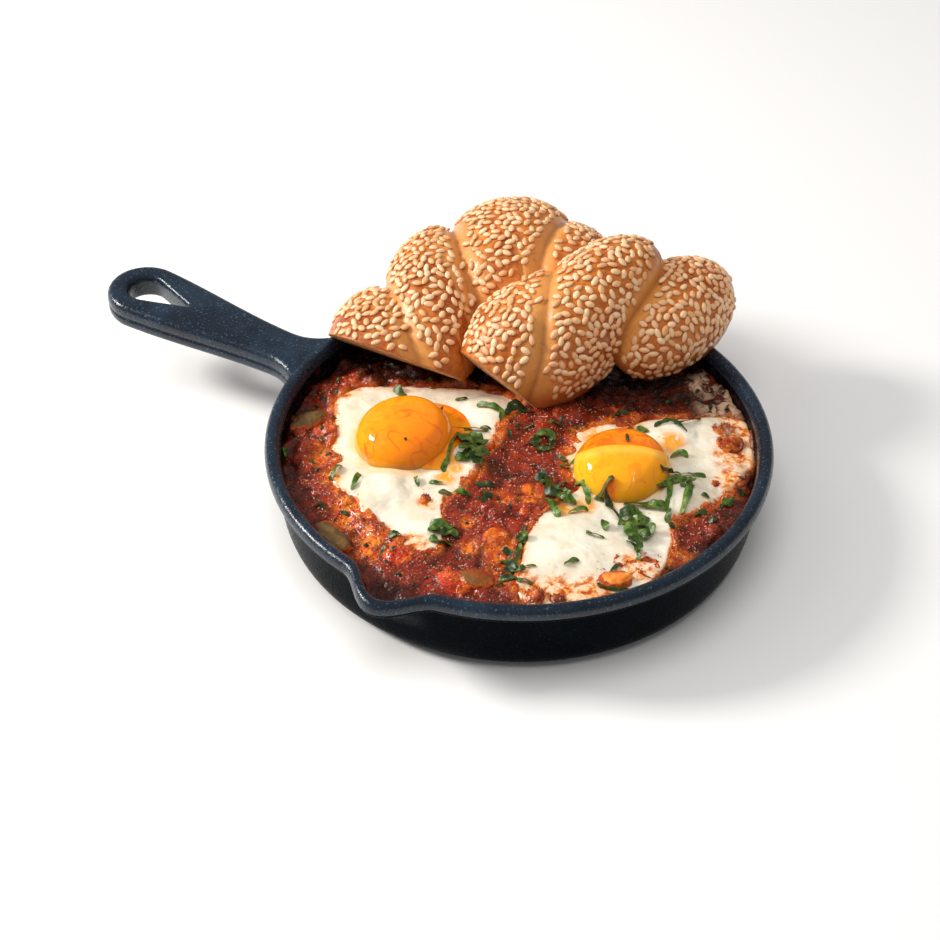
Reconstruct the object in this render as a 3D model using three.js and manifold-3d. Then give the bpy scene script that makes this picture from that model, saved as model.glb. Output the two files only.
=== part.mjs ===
// Shakshuka in a small cast-iron skillet, with two halves of a seeded plaited roll laid on top.
// Millimetres, +Z up. The origin is the centre of the skillet's flat underside. The handle runs
// along -X and the pouring lips face -Y and +Y.
import * as THREE from "three";
import { mergeVertices } from "three/addons/utils/BufferGeometryUtils.js";
import Module from "manifold-3d";

const wasm = await Module();
wasm.setup();

// ---- driving dimensions ----

const GAP = 0.35; // between two pieces that touch

// skillet
const RIM_RADIUS = 82.5;
const RIM_TOP = 30.5;
const BASE_RADIUS = 71;
const FLOOR = 4;
const WALL_INSIDE = 77.4; // just under the rim bead
const LIP_REACH = 9; // how far a pouring lip bulges past the round rim
const LIP_HALF_ANGLE = 11.5; // degrees
const LIP_STARTS = 13; // height at which the wall starts to bulge
const HANDLE_END = 165; // from the centre to the handle's tip
const HANDLE_END_HALF_WIDTH = 14;
const HANDLE_WAIST_HALF_WIDTH = 8.3;
const HANDLE_WAIST = 94; // from the centre
const HANDLE_FLARE = 7; // how much wider each side is where it meets the rim
const HANDLE_THICK = 9;
const HANDLE_RISE = 5; // the tip stands this much higher than the root
const HANDLE_EDGE = 2.4; // rounding of its edges
const HOLE_RADIUS = 6.4;
const HOLE_CENTRE = 151;
const HOLE_POINT = 132; // where the teardrop ends, towards the pan

// food
const SAUCE_AT_WALL = 22.4;
const SAUCE_DOME = 2.2; // the middle stands this much higher
const WHITE_PROUD = 0.9; // above the sauce's mean level
const WHITE_DEPTH = 6;
const YOLK_DEPTH = 3;

// An egg: its yolk's place, half lengths and height, and the white's reach as [degrees from +X,
// millimetres from the middle].
const EGGS = [
  {
    side: "left",
    middle: [-33, -18.5],
    yolk: { at: [-33.8, -16.2], half: [15.1, 15.6], height: 11 },
    reach: [
      [-157, 24], [-134, 24], [-120, 28], [-103, 30.5], [-87, 33], [-76, 39], [-66, 43],
      [-59, 46], [-52, 53], [-46, 50.5], [-42, 44], [-38, 36], [-28, 32], [-6, 29], [25, 32],
      [45, 32], [58, 41], [74, 40], [95, 34], [118, 33], [140, 35], [158, 35], [178, 26],
    ],
  },
  {
    side: "right",
    middle: [36.5, 1.5],
    yolk: { at: [35.8, 4.3], half: [15, 15.6], height: 10.6 },
    reach: [
      [-168, 19], [-150, 15.5], [-125, 17.5], [-114, 35], [-105, 46], [-97, 53], [-93, 62], [-86, 63],
      [-78, 62], [-70, 58.5], [-61, 55], [-50, 45.5], [-40, 37], [-23, 25], [-7, 28.5], [12, 32],
      [25, 38], [36, 44], [50, 49], [66, 52], [86, 36], [108, 27], [135, 25], [162, 22.5],
    ],
  },
];

// Half a plaited roll: its strands are ellipsoids that overlap, in the roll's own frame, with u
// along the roll, v across it and w up from its base. The knife cut faces down at the low end.
const ROLLS = [
  {
    name: "bread_back",
    origin: [-47.4, 51.3, 28.5],
    turn: { heading: 55.5, pitch: 2, lean: 5 },
    core: { from: -34, to: 37, height: 12 },
    base: 1.2,
    cut: { distance: 26.4, skew: -38.7, undercut: 39.2 },
    strands: [
      { at: [-37.8, -10, 5.9], half: [20, 26.6, 14.8], turn: { heading: -33, pitch: 3, lean: 4 } },
      { at: [-16.2, -4.2, 7.1], half: [19.1, 35.3, 20.5], turn: { heading: -30, pitch: 0, lean: 13 } },
      { at: [17.1, 1, 8.9], half: [27.3, 32.8, 24.2], turn: { heading: -34, pitch: 0, lean: 0 } },
      { at: [29.9, -11.4, 10.1], half: [19.8, 25.1, 20.6], turn: { heading: -47, pitch: 0, lean: -5 } },
    ],
    seeds: 50,
    draw: 11,
  },
  {
    name: "bread_front",
    origin: [1, 51.1, 27],
    turn: { heading: 51.5, pitch: 4, lean: 14 },
    core: { from: -20, to: 38, height: 12 },
    base: 3,
    cut: { distance: 27.5, skew: -26.3, undercut: 26.9 },
    strands: [
      { at: [-17.8, 4.2, 10.4], half: [30.9, 21.9, 22.8], turn: { heading: 13, pitch: 8, lean: 0 } },
      { at: [-3.8, 4.3, 13.4], half: [18.9, 38.8, 23.3], turn: { heading: -67, pitch: 1, lean: 11 } },
      { at: [28.8, -1, 9], half: [18, 30.5, 17.8], turn: { heading: -62, pitch: 0, lean: -12 } },
    ],
    seeds: 48,
    draw: 29,
  },
];
const SEED = [1.75, 1.05, 0.65]; // half length, half width, half thickness
const SEED_SPACING = 5.4; // the least distance between two seeds
const CREASE_SOFTNESS = 16; // a higher power makes a sharper crease between strands

// Pieces of vegetable in the sauce: middle, half lengths, heading.
const VEGETABLES = [
  { name: "aubergine_front", at: [-30, -65.5, 22.2], half: [8.5, 4.6, 3.4], heading: -22, colour: 0x6e4a2c },
  { name: "aubergine_left", at: [-67.5, -22.2, 22.2], half: [7.5, 4.2, 3.2], heading: 70, colour: 0x56503a },
  { name: "pepper_front", at: [18, -61, 23.4], half: [6.2, 3.8, 2.6], heading: 8, colour: 0x7a5a3a },
  { name: "onion_right", at: [55, -41, 24.2], half: [5.2, 3.4, 2.6], heading: 35, colour: 0xd97a36 },
];

// Sprigs of chopped herb, each a few crossing shreds: middle, number of shreds, half length.
const SPRIGS = [
  { name: "herbs_centre", at: [-12.8, -12.6], shreds: 4, reach: 7.5, heading: 20 },
  { name: "herbs_right", at: [50.5, -19.5], shreds: 5, reach: 9, heading: 75 },
  { name: "herbs_middle", at: [20, -14.5], shreds: 4, reach: 7, heading: 110 },
  { name: "herbs_far_right", at: [57, 8.5], shreds: 3, reach: 8.5, heading: 40 },
  { name: "herbs_left", at: [0.5, -47.5], shreds: 3, reach: 5.5, heading: 15 },
  { name: "herbs_front", at: [25, -50], shreds: 3, reach: 8, heading: 100 },
  { name: "herbs_back", at: [6.5, 5], shreds: 2, reach: 5, heading: 60 },
];
const SHRED_HALF_WIDTH = 1.3;
const SHRED_THICK = 0.6;

// Single shreds that lie on the eggs and the sauce: middle and heading. They are part of what
// they lie on.
const LOOSE_SHREDS = [
  { at: [-46.5, -41.5], heading: 60 },
  { at: [-36.5, -44], heading: 110 },
  { at: [-16.5, -35.8], heading: 75 },
  { at: [-8, -31.5], heading: 30 },
  { at: [-13.5, 6.5], heading: 5 },
  { at: [-48.5, 4.5], heading: 130 },
  { at: [31, -24], heading: 20 },
  { at: [26, -14.5], heading: 20 },
  { at: [40.5, -40], heading: 45 },
  { at: [35.5, 29.5], heading: 15 },
  { at: [46, 35], heading: 160 },
  { at: [47.5, 20.5], heading: 35 },
  { at: [36, -52], heading: 60 },
  { at: [70, 4], heading: 120 },
];

const TOMATO_PIECES = 16;
const TOMATO_HALF = [3.6, 6]; // smallest and largest half length
const TOMATO_SPACING = 9;

// ---- small helpers ----

const radians = THREE.MathUtils.degToRad;

/** A number from 0 to 1 that a seeded generator draws each time it is called. */
function drawFrom(seed) {
  let state = seed;
  return () => {
    state = (state * 1664525 + 1013904223) % 4294967296;
    return state / 4294967296;
  };
}

function smooth(low, high, value) {
  return THREE.MathUtils.smoothstep(value, low, high);
}

/** A matrix that turns by heading about Z, then pitches the nose up, then leans sideways. */
function turned({ heading = 0, pitch = 0, lean = 0 }) {
  const about = (axis, degrees) => new THREE.Matrix4().makeRotationAxis(axis, radians(degrees));
  return about(new THREE.Vector3(0, 0, 1), heading)
    .multiply(about(new THREE.Vector3(0, 1, 0), -pitch))
    .multiply(about(new THREE.Vector3(1, 0, 0), lean));
}

/** A closed surface over rings of equally many points, shut by a point at each end, and placed. */
function closedOver(first, rings, last, place = new THREE.Matrix4()) {
  const count = rings[0].length;
  const points = [first, ...rings.flat(), last].map((point) => point.clone().applyMatrix4(place));
  const faces = [];
  for (let j = 0; j < count; j += 1) {
    const next = (j + 1) % count;
    faces.push([0, 1 + next, 1 + j]);
    for (let i = 0; i + 1 < rings.length; i += 1) {
      const low = 1 + i * count;
      const high = low + count;
      faces.push([low + j, low + next, high + next], [low + j, high + next, high + j]);
    }
    const top = 1 + (rings.length - 1) * count;
    faces.push([points.length - 1, top + j, top + next]);
  }
  return solidOf(points, faces);
}

/** A manifold solid from points and faces, turned inside out where the faces point inwards. */
function solidOf(points, faces) {
  let volume = 0;
  for (const [a, b, c] of faces) {
    volume += points[a].dot(new THREE.Vector3().crossVectors(points[b], points[c]));
  }
  const outward = volume > 0 ? faces : faces.map(([a, b, c]) => [a, c, b]);
  return new wasm.Manifold(
    new wasm.Mesh({
      numProp: 3,
      vertProperties: new Float32Array(points.flatMap((point) => point.toArray())),
      triVerts: new Uint32Array(outward.flat()),
    }),
  );
}

/** A manifold solid from a three.js geometry. */
function solidFrom(geometry) {
  const bare = geometry.clone();
  bare.deleteAttribute("normal");
  bare.deleteAttribute("uv");
  const merged = mergeVertices(bare, 1e-4);
  const position = merged.attributes.position;
  const points = [];
  for (let i = 0; i < position.count; i += 1) {
    points.push(new THREE.Vector3().fromBufferAttribute(position, i));
  }
  const faces = [];
  for (let i = 0; i < merged.index.count; i += 3) {
    const face = [0, 1, 2].map((corner) => merged.index.getX(i + corner));
    if (new Set(face).size === 3) faces.push(face);
  }
  return solidOf(points, faces);
}

/** The largest body of a solid, without any scrap that a cut left loose. */
function largestBody(solid) {
  const bodies = solid.decompose();
  return bodies.reduce((most, body) => (body.volume() > most.volume() ? body : most));
}

function meshOf(name, solid, look) {
  const { vertProperties, triVerts } = largestBody(solid).getMesh();
  const geometry = new THREE.BufferGeometry();
  geometry.setAttribute("position", new THREE.BufferAttribute(new Float32Array(vertProperties), 3));
  geometry.setIndex(new THREE.BufferAttribute(new Uint32Array(triVerts), 1));
  geometry.computeVertexNormals();
  const mesh = new THREE.Mesh(geometry, new THREE.MeshStandardMaterial(look));
  mesh.name = name;
  return mesh;
}

/** A closed curve's radius at an angle, from [degrees, radius] points, rounded between them. */
function reachAt(points, degrees) {
  const count = points.length;
  const turnTo = (from, to) => ((((to - from) % 360) + 360) % 360);
  let index = 0;
  for (let i = 0; i < count; i += 1) {
    const span = turnTo(points[i][0], points[(i + 1) % count][0]);
    if (turnTo(points[i][0], degrees) < span) index = i;
  }
  const [before, start, end, after] = [-1, 0, 1, 2].map((step) => points[(index + step + count) % count]);
  const span = turnTo(start[0], end[0]);
  const t = turnTo(start[0], degrees) / span;
  const slopeIn = ((end[1] - before[1]) / turnTo(before[0], end[0])) * span;
  const slopeOut = ((after[1] - start[1]) / turnTo(start[0], after[0])) * span;
  const t2 = t * t;
  const t3 = t2 * t;
  return (2 * t3 - 3 * t2 + 1) * start[1] + (t3 - 2 * t2 + t) * slopeIn
    + (3 * t2 - 2 * t3) * end[1] + (t3 - t2) * slopeOut;
}

// ---- the skillet ----

/** Radius and height along the wall: up the outside, over the rim bead and down the inside. */
const WALL_OUTSIDE = [
  [BASE_RADIUS, 0],
  [BASE_RADIUS + 5, 1.6],
  [BASE_RADIUS + 7.4, 6],
  [RIM_RADIUS - 2.7, 24.4],
  [RIM_RADIUS - 0.5, 26.2],
  [RIM_RADIUS, 28],
  [RIM_RADIUS - 1, 30],
  [RIM_RADIUS - 2.5, RIM_TOP],
];
const WALL_INSIDE_POINTS = [
  [RIM_RADIUS - 4.1, 29.7],
  [WALL_INSIDE, 27.6],
  [WALL_INSIDE - 0.6, 20],
  [WALL_INSIDE - 2.2, FLOOR + 5],
  [WALL_INSIDE - 7, FLOOR + 0.8],
  [WALL_INSIDE - 11, FLOOR],
];

/** How far the wall bulges out at an angle and a height, for the two pouring lips. */
function lipBulge(degrees, height) {
  const off = Math.min(...[-90, 90].map((lip) => Math.abs((((degrees - lip) % 360) + 540) % 360 - 180)));
  const across = Math.cos(Math.min(off / LIP_HALF_ANGLE, 1) * Math.PI) * 0.5 + 0.5;
  return LIP_REACH * across * smooth(LIP_STARTS, RIM_TOP - 4, height);
}

/** Angles round the pan, closer together at the pouring lips. */
function panAngles() {
  const angles = [];
  for (const lip of [-90, 90]) {
    for (let i = 0; i < 9; i += 1) angles.push(lip - LIP_HALF_ANGLE + (i * 2 * LIP_HALF_ANGLE) / 9);
    const start = lip + LIP_HALF_ANGLE;
    const rest = 180 - 2 * LIP_HALF_ANGLE;
    for (let i = 0; i < 18; i += 1) angles.push(start + (i * rest) / 18);
  }
  return angles;
}

function bowl(grow) {
  const ringAt = ([radius, height], sideways, upwards) =>
    panAngles().map((degrees) => {
      const reach = radius + sideways + lipBulge(degrees, height);
      const angle = radians(degrees);
      return new THREE.Vector3(reach * Math.cos(angle), reach * Math.sin(angle), height + upwards);
    });
  const rings = [];
  WALL_OUTSIDE.forEach((point, i) => {
    const atRim = i === WALL_OUTSIDE.length - 1;
    rings.push(ringAt(point, atRim ? 0 : grow, i === 0 ? -grow : atRim ? grow : 0));
  });
  WALL_INSIDE_POINTS.forEach((point, i) => {
    rings.push(ringAt(point, -grow, i === 0 || i > 2 ? grow : 0));
  });
  return closedOver(new THREE.Vector3(0, 0, -grow), rings, new THREE.Vector3(0, 0, FLOOR + grow));
}

/** Half the handle's width at a distance from the pan's centre. */
function handleHalfWidth(distance) {
  const taper = smooth(HANDLE_WAIST - 4, HANDLE_END - 8, distance);
  const straight = THREE.MathUtils.lerp(HANDLE_WAIST_HALF_WIDTH, HANDLE_END_HALF_WIDTH, taper);
  const flare = Math.max(0, HANDLE_WAIST - distance) / (HANDLE_WAIST - RIM_RADIUS + 3);
  return straight + HANDLE_FLARE * flare ** 2.4;
}

function handle(grow) {
  const root = RIM_RADIUS - 3.5;
  const roundStart = HANDLE_END - HANDLE_END_HALF_WIDTH;
  const edge = [];
  for (let i = 0; i <= 12; i += 1) {
    const distance = root + ((roundStart - root) * i) / 12;
    edge.push(new THREE.Vector2(-distance, handleHalfWidth(distance) + grow));
  }
  const end = handleHalfWidth(roundStart) + grow;
  for (let i = 1; i < 8; i += 1) {
    const angle = Math.PI / 2 - (i * Math.PI) / 8;
    edge.push(new THREE.Vector2(-roundStart - end * Math.cos(angle), end * Math.sin(angle)));
  }
  for (let i = 12; i >= 0; i -= 1) edge.push(new THREE.Vector2(edge[i].x, -edge[i].y));
  const shape = new THREE.Shape(edge.map((point) => point.clone()));
  const hole = new THREE.Path();
  const radius = HOLE_RADIUS - grow;
  const lean = Math.acos(radius / (HOLE_CENTRE - HOLE_POINT));
  hole.moveTo(-HOLE_POINT - grow, 0);
  for (let i = 0; i <= 10; i += 1) {
    const angle = lean + ((2 * Math.PI - 2 * lean) * i) / 10;
    hole.lineTo(-HOLE_CENTRE + radius * Math.cos(angle), radius * Math.sin(angle));
  }
  hole.closePath();
  shape.holes.push(hole);
  const geometry = new THREE.ExtrudeGeometry(shape, {
    depth: HANDLE_THICK + 2 * grow - 2 * HANDLE_EDGE,
    bevelThickness: HANDLE_EDGE,
    bevelSize: HANDLE_EDGE,
    bevelOffset: -HANDLE_EDGE,
    bevelSegments: 2,
    curveSegments: 1,
  });
  geometry.translate(0, 0, RIM_TOP - 0.2 - HANDLE_THICK - grow + HANDLE_EDGE);
  const position = geometry.attributes.position;
  for (let i = 0; i < position.count; i += 1) {
    const along = (-position.getX(i) - root) / (HANDLE_END - root);
    position.setZ(i, position.getZ(i) + HANDLE_RISE * Math.max(0, along) ** 1.2);
  }
  return solidFrom(geometry);
}

/** The handle's root is trimmed to the pan's round inside wall before the two are joined. */
function skillet(grow) {
  const inside = new THREE.CylinderGeometry(WALL_INSIDE + 2.6, WALL_INSIDE + 2.6, 60, 60);
  inside.rotateX(Math.PI / 2);
  return bowl(grow).add(handle(grow).subtract(solidFrom(inside)));
}

// ---- the food in the pan ----

function sauceLevel(x, y) {
  const radius = Math.hypot(x, y) / WALL_INSIDE;
  return SAUCE_AT_WALL + SAUCE_DOME * (1 - radius ** 2);
}

function ripple(x, y) {
  return 0.35 * Math.sin(x / 5.1 + 1.3) * Math.sin(y / 6.3 + 0.4) + 0.2 * Math.sin((x + y) / 3.3);
}

function sauceTop(x, y) {
  return sauceLevel(x, y) + ripple(x, y);
}

function whiteTop(x, y) {
  return sauceLevel(x, y) + WHITE_PROUD + 0.6 * ripple(y, x);
}

/** The sauce before anything is set into it, out to the pan's wall. */
function sauceBody() {
  const spokes = 36;
  const around = (make) => Array.from({ length: spokes }, (_, j) => make((j * 2 * Math.PI) / spokes));
  const flat = (radius, height) =>
    around((angle) => new THREE.Vector3(radius * Math.cos(angle), radius * Math.sin(angle), height));
  const wall = WALL_INSIDE - GAP;
  const rings = [
    flat(wall - 11.4, FLOOR + GAP),
    flat(wall - 7.2, FLOOR + 1.2 + GAP),
    flat(wall - 2.5, FLOOR + 5.5),
  ];
  const steps = 8;
  for (let i = 0; i < steps; i += 1) {
    const radius = (wall - 0.7) * (1 - i / steps);
    rings.push(
      around((angle) => {
        const x = radius * Math.cos(angle);
        const y = radius * Math.sin(angle);
        return new THREE.Vector3(x, y, sauceTop(x, y));
      }),
    );
  }
  const bottom = new THREE.Vector3(0, 0, FLOOR + GAP);
  return closedOver(bottom, rings, new THREE.Vector3(0, 0, sauceTop(0, 0)));
}

/** Points round an egg's middle at a share of the white's reach. */
function whiteRing(egg, share, grow, heightAt) {
  const spokes = 38;
  const [cx, cy] = egg.middle;
  return Array.from({ length: spokes }, (_, j) => {
    const degrees = (j * 360) / spokes;
    const reach = reachAt(egg.reach, degrees) * share + grow;
    const x = cx + reach * Math.cos(radians(degrees));
    const y = cy + reach * Math.sin(radians(degrees));
    return new THREE.Vector3(x, y, heightAt(x, y));
  });
}

function whiteUnderside(x, y) {
  return sauceLevel(x, y) + WHITE_PROUD - WHITE_DEPTH;
}

function eggWhite(egg) {
  const [cx, cy] = egg.middle;
  const rings = [
    whiteRing(egg, 0.9, 0, whiteUnderside),
    whiteRing(egg, 1, 0, (x, y) => sauceLevel(x, y) - 1.2),
    whiteRing(egg, 0.985, 0, (x, y) => whiteTop(x, y) - 0.5),
    whiteRing(egg, 0.93, 0, whiteTop),
    whiteRing(egg, 0.65, 0, whiteTop),
  ];
  const bottom = new THREE.Vector3(cx, cy, whiteUnderside(cx, cy));
  return closedOver(bottom, rings, new THREE.Vector3(cx, cy, whiteTop(cx, cy)));
}

/** The hollow in the sauce that a white lies in, open upwards. */
function whitePocket(egg) {
  const [cx, cy] = egg.middle;
  const above = RIM_TOP;
  const rings = [
    whiteRing(egg, 0.9, GAP, (x, y) => whiteUnderside(x, y) - GAP),
    whiteRing(egg, 1, GAP, (x, y) => sauceLevel(x, y) - 1.2),
    whiteRing(egg, 1, GAP, () => above),
  ];
  const bottom = new THREE.Vector3(cx, cy, whiteUnderside(cx, cy) - GAP);
  return closedOver(bottom, rings, new THREE.Vector3(cx, cy, above));
}

function yolkTop(egg, x, y) {
  const { at: [cx, cy], half: [halfX, halfY], height } = egg.yolk;
  const out = Math.hypot((x - cx) / halfX, (y - cy) / halfY);
  return out < 1 ? whiteTop(cx, cy) + height * (1 - out ** 2.3) ** 0.62 : -Infinity;
}

function yolk(egg, grow) {
  const { at: [cx, cy], half: [halfX, halfY], height } = egg.yolk;
  const level = whiteTop(cx, cy);
  const ring = (share, z) =>
    Array.from({ length: 20 }, (_, j) => {
      const angle = (j * 2 * Math.PI) / 20;
      return new THREE.Vector3(
        cx + (halfX * share + grow) * Math.cos(angle),
        cy + (halfY * share + grow) * Math.sin(angle),
        z,
      );
    });
  const rings = [ring(0.8, level - YOLK_DEPTH - grow)];
  for (const share of [1, 0.96, 0.84, 0.62, 0.34]) {
    rings.push(ring(share, level + height * (1 - share ** 2.3) ** 0.62 + (share < 1 ? grow : 0)));
  }
  const bottom = new THREE.Vector3(cx, cy, level - YOLK_DEPTH - grow);
  return closedOver(bottom, rings, new THREE.Vector3(cx, cy, level + height + grow));
}

/** A rounded lump: an ellipsoid with a few sides, made uneven by a seeded draw. */
function lump({ at, half, heading, uneven, sides, rows }, draw, place = new THREE.Matrix4()) {
  const rings = [];
  for (let i = 1; i < rows; i += 1) {
    const lift = -Math.PI / 2 + (i * Math.PI) / rows;
    rings.push(
      Array.from({ length: sides }, (_, j) => {
        const angle = (j * 2 * Math.PI) / sides;
        const wide = Math.cos(lift) * (1 + uneven * (draw() - 0.5));
        return new THREE.Vector3(
          half[0] * wide * Math.cos(angle),
          half[1] * wide * Math.sin(angle),
          half[2] * Math.sin(lift),
        );
      }),
    );
  }
  const high = new THREE.Vector3(0, 0, half[2] * (1 + uneven * (draw() - 0.5)));
  const low = new THREE.Vector3(0, 0, -half[2]);
  const matrix = turned({ heading });
  matrix.setPosition(...at);
  return closedOver(low, rings, high, matrix.premultiply(place));
}

// ---- herbs ----

function foodTop(x, y) {
  let top = sauceTop(x, y);
  for (const egg of EGGS) {
    const [cx, cy] = egg.middle;
    const out = Math.hypot(x - cx, y - cy);
    const reach = reachAt(egg.reach, THREE.MathUtils.radToDeg(Math.atan2(y - cy, x - cx)));
    if (out < reach + 1) top = Math.max(top, whiteTop(x, y), yolkTop(egg, x, y));
  }
  return top;
}

/** A thin curled shred along a heading: a strip of three stations that follows what it lies on. */
function shred({ at, heading, half, lift, curl }, grow = 0) {
  const stations = [-1, 0, 1];
  const turn = radians(heading);
  const rings = stations.map((share) => {
    const along = (half + grow) * share;
    const x = at[0] + along * Math.cos(turn) - curl * share ** 2 * Math.sin(turn);
    const y = at[1] + along * Math.sin(turn) + curl * share ** 2 * Math.cos(turn);
    const width = SHRED_HALF_WIDTH * (1 - 0.45 * share ** 2) + grow;
    const thick = SHRED_THICK / 2 + grow;
    const side = new THREE.Vector2(-Math.sin(turn) * width, Math.cos(turn) * width);
    const z = lift + foodTop(x, y) + 0.35 * Math.cos(share * 4 + heading);
    return [
      new THREE.Vector3(x - side.x, y - side.y, z - thick),
      new THREE.Vector3(x + side.x, y + side.y, z - thick),
      new THREE.Vector3(x + side.x, y + side.y, z + thick),
      new THREE.Vector3(x - side.x, y - side.y, z + thick),
    ];
  });
  const middleOf = (ring) => ring.reduce((sum, point) => sum.add(point), new THREE.Vector3()).divideScalar(4);
  return closedOver(middleOf(rings[0]), rings, middleOf(rings[rings.length - 1]));
}

function sprig({ at, shreds, reach, heading }, draw) {
  const strips = [];
  for (let i = 0; i < shreds; i += 1) {
    const turn = heading + (i * 180) / shreds + 24 * (draw() - 0.5);
    const slide = (draw() - 0.5) * reach * 0.5;
    const middle = [
      at[0] + slide * Math.cos(radians(turn)),
      at[1] + slide * Math.sin(radians(turn)),
    ];
    strips.push(
      shred({ at: middle, heading: turn, half: reach * (0.7 + 0.3 * draw()), lift: 1.2, curl: 3 * (draw() - 0.5) }),
    );
  }
  return wasm.Manifold.union(strips);
}

// ---- bread ----

/** The roll's strands, each with the matrix that turns it into a unit sphere. */
function strandsOf(roll) {
  return roll.strands.map(({ at, half, turn }) => {
    const matrix = turned(turn);
    matrix.setPosition(...at);
    return matrix.multiply(new THREE.Matrix4().makeScale(...half)).invert();
  });
}

/** How far a line from inside the roll runs before it leaves the strands, with soft creases. */
function crustDistance(strands, from, direction) {
  let sum = 0;
  for (const matrix of strands) {
    const start = from.clone().applyMatrix4(matrix);
    const step = direction.clone().add(from).applyMatrix4(matrix).sub(start);
    const a = step.dot(step);
    const b = start.dot(step);
    const c = start.dot(start) - 1;
    const root = b * b - a * c;
    if (root > 0) sum += Math.max((Math.sqrt(root) - b) / a, 0) ** CREASE_SOFTNESS;
  }
  return Math.max(sum ** (1 / CREASE_SOFTNESS), 2);
}

/** The line out of the roll's core at a share of its length, 0 to 1, and an angle round it. */
function crustLine({ core }, share, angle) {
  const capShare = 0.22;
  let along = (share - capShare) / (1 - 2 * capShare);
  let tilt = 0;
  if (share < capShare) {
    tilt = -(1 - share / capShare) * (Math.PI / 2);
    along = 0;
  } else if (share > 1 - capShare) {
    tilt = (1 - (1 - share) / capShare) * (Math.PI / 2);
    along = 1;
  }
  return {
    from: new THREE.Vector3(THREE.MathUtils.lerp(core.from, core.to, along), 0, core.height),
    direction: new THREE.Vector3(
      Math.sin(tilt),
      Math.cos(tilt) * Math.cos(angle),
      Math.cos(tilt) * Math.sin(angle),
    ),
  };
}

function crustPoint(roll, strands, share, angle, grow) {
  const { from, direction } = crustLine(roll, share, angle);
  return from.clone().addScaledVector(direction, crustDistance(strands, from, direction) + grow);
}

/** A block that covers the half space past a plane, to cut with. */
function pastPlane(normal, distance, place) {
  const size = 300;
  const block = new THREE.BoxGeometry(size, size, size);
  const matrix = new THREE.Matrix4().lookAt(normal, new THREE.Vector3(), new THREE.Vector3(0.3, 1, 0.2));
  matrix.setPosition(normal.clone().multiplyScalar(distance + size / 2));
  block.applyMatrix4(matrix.premultiply(place));
  return solidFrom(block);
}

function cutNormal({ skew, undercut }) {
  const flat = Math.cos(radians(undercut));
  return new THREE.Vector3(
    -flat * Math.cos(radians(skew)),
    flat * Math.sin(radians(skew)),
    -Math.sin(radians(undercut)),
  );
}

function placeOf(roll) {
  const matrix = turned(roll.turn);
  matrix.setPosition(...roll.origin);
  return matrix;
}

/** The roll's crust where it lies, before the knife cut and without seeds. */
function crust(roll, grow) {
  const strands = strandsOf(roll);
  const rows = 18;
  const sides = 21;
  const rings = [];
  for (let i = 1; i < rows; i += 1) {
    rings.push(
      Array.from({ length: sides }, (_, j) =>
        crustPoint(roll, strands, i / rows, (j * 2 * Math.PI) / sides, grow)),
    );
  }
  const ends = [0, 1].map((share) => crustPoint(roll, strands, share, 0, grow));
  return closedOver(ends[0], rings, ends[1], placeOf(roll));
}

function cutRoll(roll, solid, grow) {
  const down = new THREE.Vector3(0, 0, -1);
  return solid
    .subtract(pastPlane(cutNormal(roll.cut), roll.cut.distance + grow, placeOf(roll)))
    .subtract(pastPlane(down, grow - roll.base, placeOf(roll)));
}

/** Seeds spread over the crust: flat teardrops half sunk in it, clear of the cut and the base. */
function seedsOn(roll, isFree) {
  const strands = strandsOf(roll);
  const draw = drawFrom(roll.draw);
  const normal = cutNormal(roll.cut);
  const seeds = [];
  const places = [];
  for (let tries = 0; tries < 9000 && seeds.length < roll.seeds; tries += 1) {
    const share = 0.04 + 0.92 * draw();
    const angle = Math.PI * (-0.08 + 1.16 * draw());
    const turn = draw() * Math.PI;
    const point = crustPoint(roll, strands, share, angle, 0);
    if (point.z < roll.base + 4) continue;
    if (normal.dot(point) > roll.cut.distance - 3) continue;
    if (places.some((place) => place.distanceTo(point) < SEED_SPACING)) continue;
    if (!isFree(point.clone().applyMatrix4(placeOf(roll)))) continue;
    const step = 0.01;
    const along = crustPoint(roll, strands, share + step, angle, 0).sub(point);
    const round = crustPoint(roll, strands, share, angle + step, 0).sub(point);
    const outward = new THREE.Vector3().crossVectors(round, along).normalize();
    const { direction } = crustLine(roll, share, angle);
    if (outward.dot(direction) < 0) outward.negate();
    if (outward.dot(direction) < 0.55) continue;
    const frame = new THREE.Matrix4().lookAt(outward, new THREE.Vector3(), along);
    frame.multiply(new THREE.Matrix4().makeRotationZ(turn));
    frame.setPosition(point.clone().addScaledVector(outward, 0.15));
    const grain = { at: [0, 0, 0], half: SEED, heading: 0, uneven: 0.1, sides: 5, rows: 3 };
    seeds.push(lump(grain, draw, frame.premultiply(placeOf(roll))));
    places.push(point);
  }
  return seeds;
}

/** Whether a point is clear of a roll by a margin. */
function clearOfRoll(roll, margin) {
  const strands = strandsOf(roll);
  const toRoll = placeOf(roll).invert();
  const least = Math.min(...roll.strands.flatMap(({ half }) => half));
  return (point) => {
    const local = point.clone().applyMatrix4(toRoll);
    return strands.every((matrix) => local.clone().applyMatrix4(matrix).length() > 1 + margin / least);
  };
}

function bread(roll, otherRolls) {
  const isFree = (point) => otherRolls.every((other) => clearOfRoll(other, 2.5)(point));
  const seeded = wasm.Manifold.union([crust(roll, 0), ...seedsOn(roll, isFree)]);
  return cutRoll(roll, seeded, 0);
}

/** The space that a roll takes, with a gap round it. */
function breadSpace(roll) {
  return cutRoll(roll, crust(roll, GAP + 0.1), GAP);
}

// ---- what lies in what ----

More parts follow.
